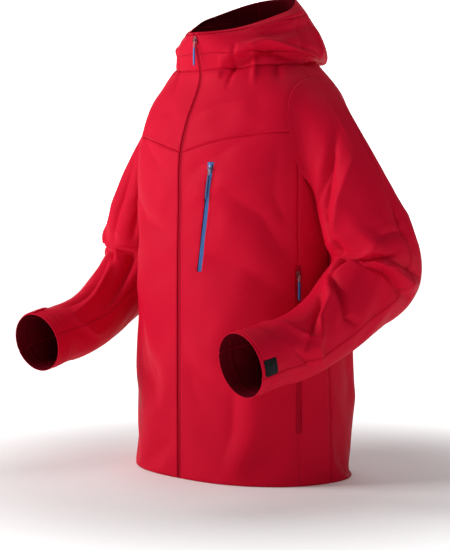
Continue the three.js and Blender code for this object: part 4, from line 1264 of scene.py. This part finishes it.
class JACKET_OT_zips(bpy.types.Operator):
    """Build the zip tapes, their teeth, the storm flap and the pocket bags"""
    bl_idname = "jacket.zips"
    bl_label = "Zips and pockets"

    def execute(self, context):
        red, blue = tape_material(), tape_material(True)
        depths = (0.0007, 0.0004, 0.0013, 0.0015)
        path = path_between((0.005, 0), (0.740, 0), 170)
        for side, sign in (("left", 1), ("right", -1)):
            zip_film(f"film_main_{side}", path, 0.0002, 0.0072, depths, "jacket", "red_zip_tape",
                     (f"main_zip_tape_{side}",), red, sign)
        teeth = coil_material("Red teeth", RED_COIL)
        toothed_row("teeth_main", path, "jacket", "red_zip_teeth", ("main_zip_coil",), teeth)
        for label, (foot, head), mirror, made_of, slot in (
                ("chest_zip", CHEST_ZIP, False, blue, "blue"), ("hand_zip_left", HAND_ZIP, False, red, "red"),
                ("hand_zip_right", HAND_ZIP, True, red, "red")):
            if mirror:
                foot, head = (foot[0], 360 - foot[1]), (head[0], 360 - head[1])
            path = path_between((foot[0] - 0.002, foot[1]), (head[0] + 0.002, head[1]), 60)
            zip_film(f"film_{label}_a", path, 0.0002, 0.0072, depths, "jacket", slot + "_zip_tape",
                     (label + "_tape",), made_of, 1)
            zip_film(f"film_{label}_b", path, 0.0002, 0.0072, depths, "jacket", slot + "_zip_tape", (), made_of, -1)
            tooth = teeth if slot == "red" else coil_material("Blue teeth", (0.03, 0.16, 0.46))
            toothed_row("teeth_" + label, path, "jacket", slot + "_zip_teeth", (label + "_coil",), tooth)
        lining = lining_material()
        flap = 0.017 / 0.0025
        facing_strip("storm_facing", 0.006, 0.735, -flap, flap, 0.0062, 0.0009, ("storm_flap",), lining,
                     "lining_fabric", 90, 12)
        facing_strip("bag_chest", 0.325, 0.480, 11.5, 40.5, 0.0085, 0.0008, ("chest_zip_bag",), lining, "lining_fabric")
        for side in ("left", "right"):
            a, b = (45.5, 72.5) if side == "left" else (287.5, 314.5)
            facing_strip(f"bag_hand_{side}", 0.135, 0.330, a, b, 0.0085, 0.0008, (f"hand_zip_{side}_bag",), lining,
                         "lining_fabric")
        return {"FINISHED"}


def place_on(at, degrees, step, angle_step=0.0):
    """Matrix with x across the zip, y towards its head and z out of the cloth."""
    p = body_points(at, degrees)
    z = Vector(body_normals(at, degrees))
    y = Vector(body_points(at + step, degrees + angle_step) - body_points(at - step, degrees - angle_step))
    y = (y - y.dot(z) * z).normalized()
    x = y.cross(z)
    m = Matrix((x, y, z)).transposed().to_4x4()
    m.translation = Vector(p)
    return m


def slider_mesh(bm):
    """Slider body, its diamond neck and the bridge that holds the puller."""
    outline = ((-2.7, -6), (2.7, -6), (3.6, 3.5), (2.2, 6), (-2.2, 6), (-3.6, 3.5))
    low = [bm.verts.new((x / 1000, y / 1000, -0.0008)) for x, y in outline]
    face = bm.faces.new(low)
    top = bmesh.ops.extrude_face_region(bm, geom=[face])
    verts = [v for v in top["geom"] if isinstance(v, bmesh.types.BMVert)]
    bmesh.ops.translate(bm, vec=(0, 0, 0.0018), verts=verts)
    bmesh.ops.recalc_face_normals(bm, faces=bm.faces)
    edges = [e for e in bm.edges if abs(e.verts[0].co.z - e.verts[1].co.z) < 1e-6 and e.verts[0].co.z > 0]
    bmesh.ops.bevel(bm, geom=edges, offset=0.0005, segments=3, profile=0.5, affect="EDGES", material=-1)
    for x in (-0.0026, 0.0026):
        place = Matrix.Translation((x, 0, 0.0025)) @ Matrix.Diagonal((0.001, 0.0034, 0.0034, 1))
        made = bmesh.ops.create_cube(bm, size=1, matrix=place)
        edges = list({e for v in made["verts"] for e in v.link_edges})
        bmesh.ops.bevel(bm, geom=edges, offset=0.0002, segments=2, profile=0.5, affect="EDGES", material=-1)
    turned = Matrix.Translation((0, 0, 0.0033)) @ Matrix.Rotation(math.pi / 2, 4, "Y")
    bmesh.ops.create_cone(bm, cap_ends=True, segments=16, radius1=0.0006, radius2=0.0006, depth=0.005, matrix=turned)


def puller_mesh(bm):
    """The wire loop on the slider's bridge, hanging along -y."""
    major = [Vector((0.0013 * math.sin(a), -0.0052 + 0.0066 * math.cos(a), 0))
             for a in np.linspace(0, 2 * math.pi, 33)[:-1]]
    n = len(major)
    rings = []
    for k in range(n):
        t = (major[(k + 1) % n] - major[k - 1]).normalized()
        side = t.cross(Vector((0, 0, 1)))
        rings.append([bm.verts.new(major[k] + (side * math.cos(b) + Vector((0, 0, 1)) * math.sin(b)) * 0.00042)
                      for b in np.linspace(0, 2 * math.pi, 9)[:-1]])
    join_rings(bm, rings, closed=True, ends=False)


def grip_mesh(bm, length):
    """A long moulded grip with ridges, hanging along -y."""
    count = 60
    rows = []
    for k in range(count + 1):
        t = k / count
        y = -0.0095 - (length - 0.0095) * t
        round_end = math.sqrt(max(0.0, 1 - ((t - 0.5) / 0.5) ** 20))
        width = (0.0014 + 0.0003 * math.sin(math.pi * t)) * max(round_end, 0.35)
        ridge = 0.00022 * (0.5 + 0.5 * math.cos(t * count * math.pi / 1.5)) * (0.1 < t < 0.9)
        thick = (0.0011 + ridge) * max(round_end, 0.35)
        rows.append([bm.verts.new((width * math.copysign(abs(math.cos(b)) ** 0.6, math.cos(b)), y,
                                   thick * math.copysign(abs(math.sin(b)) ** 0.6, math.sin(b))))
                     for b in np.linspace(0, 2 * math.pi, 17)[:-1]])
    for a, b in zip(rows[:-1], rows[1:]):
        for i in range(16):
            j = (i + 1) % 16
            bm.faces.new((a[i], b[i], b[j], a[j]))
    bm.faces.new(rows[0])
    bm.faces.new(rows[-1][::-1])
    bmesh.ops.recalc_face_normals(bm, faces=bm.faces)


class JACKET_OT_sliders(bpy.types.Operator):
    """Build the zip sliders and their pullers"""
    bl_idname = "jacket.sliders"
    bl_label = "Sliders and pullers"

    def execute(self, context):
        slope = body_normals(0.692, 0.0)
        (a0, d0), (a1, d1) = CHEST_ZIP
        steep = (d1 - d0) / (a1 - a0)
        rows = (
            ("main", 0.692, 0.0, 0.0, 0.038, "red", "main_slider", "main_puller", "main_zip", math.asin(-slope[2])),
            ("chest", a1 - 0.008, d1 - 0.008 * steep, 0.004 * steep, 0.046, "blue", "chest_slider", "chest_puller",
             "chest_zip", 0.0),
            ("hand_left", 0.320, SIDE_SEAM, 0.0, 0.038, "red", "hand_slider_left", "hand_puller_left",
             "hand_zip_left", 0.0),
            ("hand_right", 0.320, SIDE_SEAM, 0.0, 0.038, "red", "hand_slider_right", "hand_puller_right",
             "hand_zip_right", 0.0),
        )
        red = metal_material("Red slider paint", (0.22, 0.01, 0.03))
        navy = metal_material("Blue slider paint", (0.03, 0.10, 0.26))
        wire = metal_material("Puller wire", (0.55, 0.35, 0.35))
        for label, at, degrees, lean, length, colour, slides, swings, cad, hang in rows:
            m = place_on(at, degrees, 0.004, lean)
            if label == "hand_right":
                m = Matrix.Diagonal((-1, 1, 1, 1)) @ m
            hinge = m @ Matrix.Translation((0, 0, 0.0033)) @ Matrix.Rotation(-hang, 4, "X")
            pieces = (
                ("slider_" + label, slider_mesh, (), m, slides, colour + "_slider", (cad + "_slider",),
                 red if colour == "red" else navy),
                ("puller_loop_" + label, puller_mesh, (), hinge, swings, colour + "_slider", (), wire),
                ("puller_grip_" + label, grip_mesh, (length,), hinge, swings, "blue_puller", (cad + "_puller",),
                 puller_material(label == "chest")),
            )
            for name, build, values, where, body, slot, nodes, made_of in pieces:
                bm = bmesh.new()
                build(bm, *values)
                bmesh.ops.transform(bm, matrix=where, verts=bm.verts)
                bmesh.ops.recalc_face_normals(bm, faces=bm.faces)
                finish_piece(new_object(name, bm), body, slot, nodes, made_of)
        return {"FINISHED"}


# ---------------------------------------------------------------- cuffs and trim
def cuff_band(name, side, start, end, near, width, reach, thick, corner):
    """A flat piece that wraps part of the cuff. Angles run from the top of the cuff outward."""
    axis = unit(FOREARM[-1] - FOREARM[-2])
    top = unit(np.array((0, 0, 1.0)) - axis * axis[2])
    outer = np.cross(top, axis)
    rows, columns = 28, 10
    bm = bmesh.new()
    layer = bm.loops.layers.uv.new("cloth")
    grid = []
    for k in range(rows + 1):
        t = k / rows
        to_end = (end - start) * (1 - t) * math.pi / 180 * CUFF_RADIUS
        cut = 0.0
        if corner and to_end < corner:
            cut = corner - math.sqrt(max(corner ** 2 - (corner - to_end) ** 2, 0))
        a = math.radians(start + (end - start) * t)
        away = top * math.cos(a) + outer * math.sin(a)
        line = []
        for c in range(columns + 1):
            back = near + cut + (width - 2 * cut) * c / columns
            lift = 0.0002 * math.sin(math.pi * c / columns)
            line.append(bm.verts.new(FOREARM[-1] - axis * back + away * (CUFF_RADIUS + reach + lift)))
        grid.append(line)
    for k in range(rows):
        for c in range(columns):
            f = bm.faces.new((grid[k][c], grid[k + 1][c], grid[k + 1][c + 1], grid[k][c + 1]))
            for loop, (i, j) in zip(f.loops, ((k, c), (k + 1, c), (k + 1, c + 1), (k, c + 1))):
                loop[layer].uv = (i * 0.0023, j * width / columns)
    top_faces = list(bm.faces)
    bmesh.ops.recalc_face_normals(bm, faces=top_faces)
    if top_faces[0].normal.dot(Vector(top)) < 0:
        bmesh.ops.reverse_faces(bm, faces=top_faces)
    bmesh.ops.solidify(bm, geom=top_faces, thickness=-thick)
    if side == "right":
        bmesh.ops.scale(bm, vec=(-1, 1, 1), verts=bm.verts)
        bmesh.ops.reverse_faces(bm, faces=bm.faces)
    bmesh.ops.recalc_face_normals(bm, faces=bm.faces)
    return new_object(name, bm)


class JACKET_OT_cuffs(bpy.types.Operator):
    """Build the cuff tabs and their hook-and-loop patches"""
    bl_idname = "jacket.cuffs"
    bl_label = "Cuffs"

    def execute(self, context):
        patch = black_material("Hook and loop", 1.0, 0.85)
        for side in ("left", "right"):
            tab = cuff_band(f"tab_{side}", side, 0, 78, 0.004, 0.030, 0.0003, 0.0014, 0.006)
            finish_piece(tab, f"cuff_tab_{side}", "shell_fabric", (f"cuff_tab_{side}",), shell_material())
            edge = tab.modifiers.new("Soft edge", "BEVEL")
            edge.width, edge.segments = 0.0004, 2
            obj = cuff_band(f"patch_{side}", side, 79, 107, 0.005, 0.022, 0.0003, 0.0010, 0.003)
            finish_piece(obj, f"forearm_{side}", "black_hook_and_loop", (f"cuff_patch_{side}",), patch)
        return {"FINISHED"}


def tube(name, points, radius, segments=10):
    """A round cord along points, with its ends filled."""
    points = [Vector(p) for p in points]
    bm = bmesh.new()
    rings = []
    up = Vector((0, 0, 1))
    for k, p in enumerate(points):
        t = (points[min(k + 1, len(points) - 1)] - points[max(k - 1, 0)]).normalized()
        side = t.cross(up).normalized()
        other = t.cross(side)
        rings.append([bm.verts.new(p + (side * math.cos(b) + other * math.sin(b)) * radius)
                      for b in np.linspace(0, 2 * math.pi, segments + 1)[:-1]])
    join_rings(bm, rings)
    bmesh.ops.recalc_face_normals(bm, faces=bm.faces)
    return new_object(name, bm)


class JACKET_OT_trim(bpy.types.Operator):
    """Build the hem cord, its locks, and the hanger loop"""
    bl_idname = "jacket.trim"
    bl_label = "Hem cord and loop"

    def execute(self, context):
        braid = black_material("Braided cord", 1.2, 0.8)
        plastic = black_material("Moulded plastic", 0.2, 0.4)
        edge = math.degrees(math.asin(0.024 / 0.145))
        turns = np.linspace(edge, 360 - edge, 120)
        path = body_at(np.full(120, 0.009), turns, 0.0062)
        path[:, 2] = 0.009
        finish_piece(tube("hem_cord_round", path, 0.0013), "jacket", "black_cord", ("hem_cord",), braid)
        spot = body_at(0.021, 50.0, 0.0076)
        for side, sign in (("left", 1), ("right", -1)):
            for name, cad, body, profile in (
                    (f"lock_{side}", f"hem_cord_lock_{side}", "jacket",
                     ((0, -7), (4.2, -7), (4.8, -6.6), (5, -6), (5, -2), (4.7, -1.4), (4.7, 1), (5, 1.6), (5, 5.6),
                      (4.7, 6), (3.4, 6), (3.1, 5.7), (3.1, -3), (0, -3))),
                    (f"button_{side}", f"hem_lock_button_{side}", f"lock_button_{side}",
                     ((0, 0.5), (2.7, 0.5), (2.7, 10), (2.4, 10.5), (0, 10.5)))):
                bm = bmesh.new()
                line = [bm.verts.new((r / 1000, 0, z / 1000)) for r, z in profile]
                edges = [bm.edges.new(pair) for pair in zip(line[:-1], line[1:])]
                bmesh.ops.spin(bm, geom=line + edges, cent=(0, 0, 0), axis=(0, 0, 1), angle=2 * math.pi, steps=32,
                               use_merge=True, use_duplicate=False)
                bmesh.ops.remove_doubles(bm, verts=bm.verts, dist=1e-6)
                bmesh.ops.recalc_face_normals(bm, faces=bm.faces)
                bmesh.ops.translate(bm, vec=(sign * spot[0], spot[1], 0.0176), verts=bm.verts)
                obj = finish_piece(new_object(name, bm), body, "black_plastic", (cad,), plastic)
                soft = obj.modifiers.new("Edge", "BEVEL")
                soft.width, soft.segments, soft.limit_method = 0.0002, 2, "ANGLE"
        low = body_at(NECK - 0.010, 180.0, 0.0042)
        half = [(-26, -4.2, 1), (-20, -4.4, -1.5), (-11, -9, -8), (0, -12, -12)]
        curve = half + [(-x, y, z) for x, y, z in reversed(half[:-1])]
        curve = catmull(np.array(curve) / 1000 + low, np.linspace(0, 6, 49))
        bm = bmesh.new()
        layer = bm.loops.layers.uv.new("cloth")
        lines = []
        for p in curve:
            lines.append([bm.verts.new(p + np.array((0, dy, dz))) for dy, dz in
                          ((-0.0004, 0.0028), (-0.0004, -0.0028), (0.0006, -0.0028), (0.0006, 0.0028))])
        for k, (a, b) in enumerate(zip(lines[:-1], lines[1:])):
            for i in range(4):
                j = (i + 1) % 4
                f = bm.faces.new((a[i], a[j], b[j], b[i]))
                for loop, u, v in zip(f.loops, (i, i + 1, i + 1, i), (k, k, k + 1, k + 1)):
                    loop[layer].uv = (u * 0.003, v * 0.001)
        bm.faces.new(lines[0])
        bm.faces.new(lines[-1][::-1])
        bmesh.ops.recalc_face_normals(bm, faces=bm.faces)
        finish_piece(new_object("hanger_tape", bm), "jacket", "black_cord", ("hanger_loop",),
                     material("Hanger tape", "Ripstop weave", (0.01, 0.01, 0.011), (0.03, 0.03, 0.03), 0.7, 1.0,
                              (("Thread", 0.0008),)))
        foot = place_on(0.0064, 0.0, 0.002)
        bm = bmesh.new()
        place = foot @ Matrix.Translation((0, 0, -0.0021)) @ Matrix.Diagonal((0.0068, 0.0052, 0.0030, 1))
        bmesh.ops.create_cube(bm, size=1, matrix=place)
        bmesh.ops.bevel(bm, geom=list(bm.edges), offset=0.0006, segments=3, profile=0.5, affect="EDGES", material=-1)
        finish_piece(new_object("zip_foot_box", bm), "jacket", "red_zip_teeth", ("main_zip_foot_box",),
                     coil_material("Red teeth", RED_COIL))
        return {"FINISHED"}


# ---------------------------------------------------------------- stage
class JACKET_OT_stage(bpy.types.Operator):
    """Set the glowing pale floor, the soft lights and the camera"""
    bl_idname = "jacket.stage"
    bl_label = "Floor, lights and camera"

    def execute(self, context):
        s = context.scene.jacket_stage
        bm = bmesh.new()
        bmesh.ops.create_grid(bm, x_segments=2, y_segments=2, size=40)
        floor = new_object("floor", bm)
        pale = bpy.data.materials.new("Pale glowing floor")
        pale.use_nodes = True
        pale.node_tree.nodes["Principled BSDF"].inputs["Base Color"].default_value = (0.9, 0.9, 0.9, 1)
        pale.node_tree.nodes["Principled BSDF"].inputs["Roughness"].default_value = 0.9
        tree = pale.node_tree
        # Painted light: the floor glows, at a tenth of full strength within 0.30 m of the jacket's centre and fully
        # beyond 0.85 m, so it reads white far out and keeps painted shade round the jacket's foot.
        place = node(tree, "ShaderNodeTexCoord")
        length = node(tree, "ShaderNodeVectorMath", operation="LENGTH")
        tree.links.new(place.outputs["Object"], length.inputs[0])
        glow = node(tree, "ShaderNodeMapRange", interpolation_type="SMOOTHSTEP")
        tree.links.new(length.outputs["Value"], glow.inputs["Value"])
        for socket, value in (("From Min", 0.30), ("From Max", 0.85), ("To Min", 0.10), ("To Max", 1.0)):
            glow.inputs[socket].default_value = value
        tree.links.new(glow.outputs["Result"], tree.nodes["Principled BSDF"].inputs["Emission Color"])
        tree.nodes["Principled BSDF"].inputs["Emission Strength"].default_value = 0.8
        floor.data.materials.append(pale)
        bm = bmesh.new()
        bmesh.ops.create_grid(bm, x_segments=1, y_segments=1, size=4.5,
                              matrix=Matrix.Translation((-8, 8, 0)) @ Matrix.Rotation(math.pi / 4, 4, "Z")
                              @ Matrix.Rotation(math.pi / 2, 4, "X"))
        backdrop = new_object("backdrop", bm)
        white = bpy.data.materials.new("White backdrop")
        white.use_nodes = True
        shader = white.node_tree.nodes["Principled BSDF"]
        shader.inputs["Base Color"].default_value = (1, 1, 1, 1)
        shader.inputs["Emission Color"].default_value = (1, 1, 1, 1)
        shader.inputs["Emission Strength"].default_value = 0.9
        backdrop.data.materials.append(white)
        for name, where, size, power, target in (
                ("Key light", (-1.7, -1.9, 1.5), 1.3, s.key, (0, 0, 0.4)),
                ("Fill light", (2.8, -0.9, 1.5), 1.6, s.fill, (0, 0, 0.4)),
                ("Top light", (-0.3, 0.5, 2.8), 1.6, s.top, (0, 0, 0.4))):
            light = bpy.data.lights.new(name, "AREA")
            light.shape, light.size, light.energy = "SQUARE", size, power
            obj = bpy.data.objects.new(name, light)
            context.scene.collection.objects.link(obj)
            obj.location = where
            obj.rotation_mode = "QUATERNION"
            obj.rotation_quaternion = (Vector(target) - Vector(where)).to_track_quat("-Z", "Y")
        world = bpy.data.worlds.new("Studio")
        world.use_nodes = True
        world.node_tree.nodes["Background"].inputs[0].default_value = (1, 1, 1, 1)
        world.node_tree.nodes["Background"].inputs[1].default_value = s.surround
        context.scene.world = world
        context.scene.view_settings.view_transform = "Standard"
        camera = bpy.data.cameras.new("Camera")
        camera.sensor_width, camera.lens = 36, 102.24
        obj = bpy.data.objects.new("Camera", camera)
        context.scene.collection.objects.link(obj)
        obj.location = (1.745, -1.738, 0.452)
        obj.rotation_mode = "QUATERNION"
        obj.rotation_quaternion = (Vector((-0.0226, 0.0295, 0.3096)) - obj.location).to_track_quat("-Z", "Y")
        context.scene.camera = obj
        return {"FINISHED"}


# ---------------------------------------------------------------- settings and panel
class JacketCloth(bpy.types.PropertyGroup):
    growth: FloatProperty(name="Torso slack", description="Extra cloth in the torso, as a share of its size",
                          default=0.02, min=0, max=0.2)
    sleeve_growth: FloatProperty(name="Sleeve slack",
                                 description="Extra cloth in the sleeves, as a share of their size",
                                 default=0.03, min=0, max=0.2)
    stiffness: FloatProperty(name="Stiffness", description="Resistance of the cloth to stretching", default=20.0)
    bending: FloatProperty(name="Bending stiffness", description="Resistance of the cloth to sharp folds", default=5.0)
    frames: IntProperty(name="Settling steps", description="Steps of the hanging simulation", default=22)
    quality: IntProperty(name="Simulation quality", description="Smaller steps within each step", default=6)


def colour(name, description, value):
    return FloatVectorProperty(name=name, description=description, subtype="COLOR", size=3, default=value, min=0, max=1)


class JacketColours(bpy.types.PropertyGroup):
    shell: colour("Outer cloth", "Outer cloth", (0.62, 0.0035, 0.028))
    shell_shade: colour("Outer cloth shade", "Darker threads of the outer cloth", (0.40, 0.0015, 0.015))
    # Also the colour of the shell's inner faces, where it is painted shade.
    lining: colour("Lining", "Pocket bags and storm flap", (0.085, 0.001, 0.006))
    zip_red: colour("Red zip", "Film and tape of the red zips", (0.46, 0.0025, 0.02))
    thread: colour("Thread", "Sewing thread", (0.56, 0.006, 0.03))
    blue: colour("Blue", "Chest zip and pullers", (0.018, 0.13, 0.40))
    blue_shade: colour("Blue shade", "Dark side of the blue trim", (0.010, 0.045, 0.17))
    black: colour("Black", "Hook-and-loop patch, cord and locks", (0.012, 0.012, 0.013))


class JacketStage(bpy.types.PropertyGroup):
    key: FloatProperty(name="Key light", description="Power of the front light", default=60.0, unit="POWER")
    fill: FloatProperty(name="Fill light", description="Power of the side light", default=5.0, unit="POWER")
    top: FloatProperty(name="Top light", description="Power of the light above", default=14.0, unit="POWER")
    surround: FloatProperty(name="Surround", description="Strength of the even light all round", default=0.16)


class JACKET_PT_panel(bpy.types.Panel):
    """Settings and buttons of the jacket"""
    bl_label = "Jacket"
    bl_space_type = "VIEW_3D"
    bl_region_type = "UI"
    bl_category = "Jacket"

    def draw(self, context):
        for holder in ("jacket_cloth", "jacket_colours", "jacket_stage"):
            box = self.layout.box()
            group = getattr(context.scene, holder)
            for key in group.__annotations__:
                box.prop(group, key)
        for operator in OPERATORS:
            self.layout.operator(operator.bl_idname)


OPERATORS = (JACKET_OT_torso, JACKET_OT_sleeves, JACKET_OT_stitching, JACKET_OT_zips, JACKET_OT_sliders,
             JACKET_OT_cuffs, JACKET_OT_trim, JACKET_OT_stage)
GROUPS = (("jacket_cloth", JacketCloth), ("jacket_colours", JacketColours), ("jacket_stage", JacketStage))


def register():
    for name, group in GROUPS:
        bpy.utils.register_class(group)
        setattr(bpy.types.Scene, name, PointerProperty(type=group))
    for item in (*OPERATORS, JACKET_PT_panel):
        bpy.utils.register_class(item)


def unregister():
    for item in (JACKET_PT_panel, *reversed(OPERATORS)):
        bpy.utils.unregister_class(item)
    for name, group in reversed(GROUPS):
        delattr(bpy.types.Scene, name)
        bpy.utils.unregister_class(group)


def main():
    register()
    for operator in OPERATORS:
        area, _, name = operator.bl_idname.partition(".")
        result = getattr(getattr(bpy.ops, area), name)()
        if result != {"FINISHED"}:
            raise RuntimeError(operator.bl_label + " was not built")


if __name__ == "__main__":
    main()
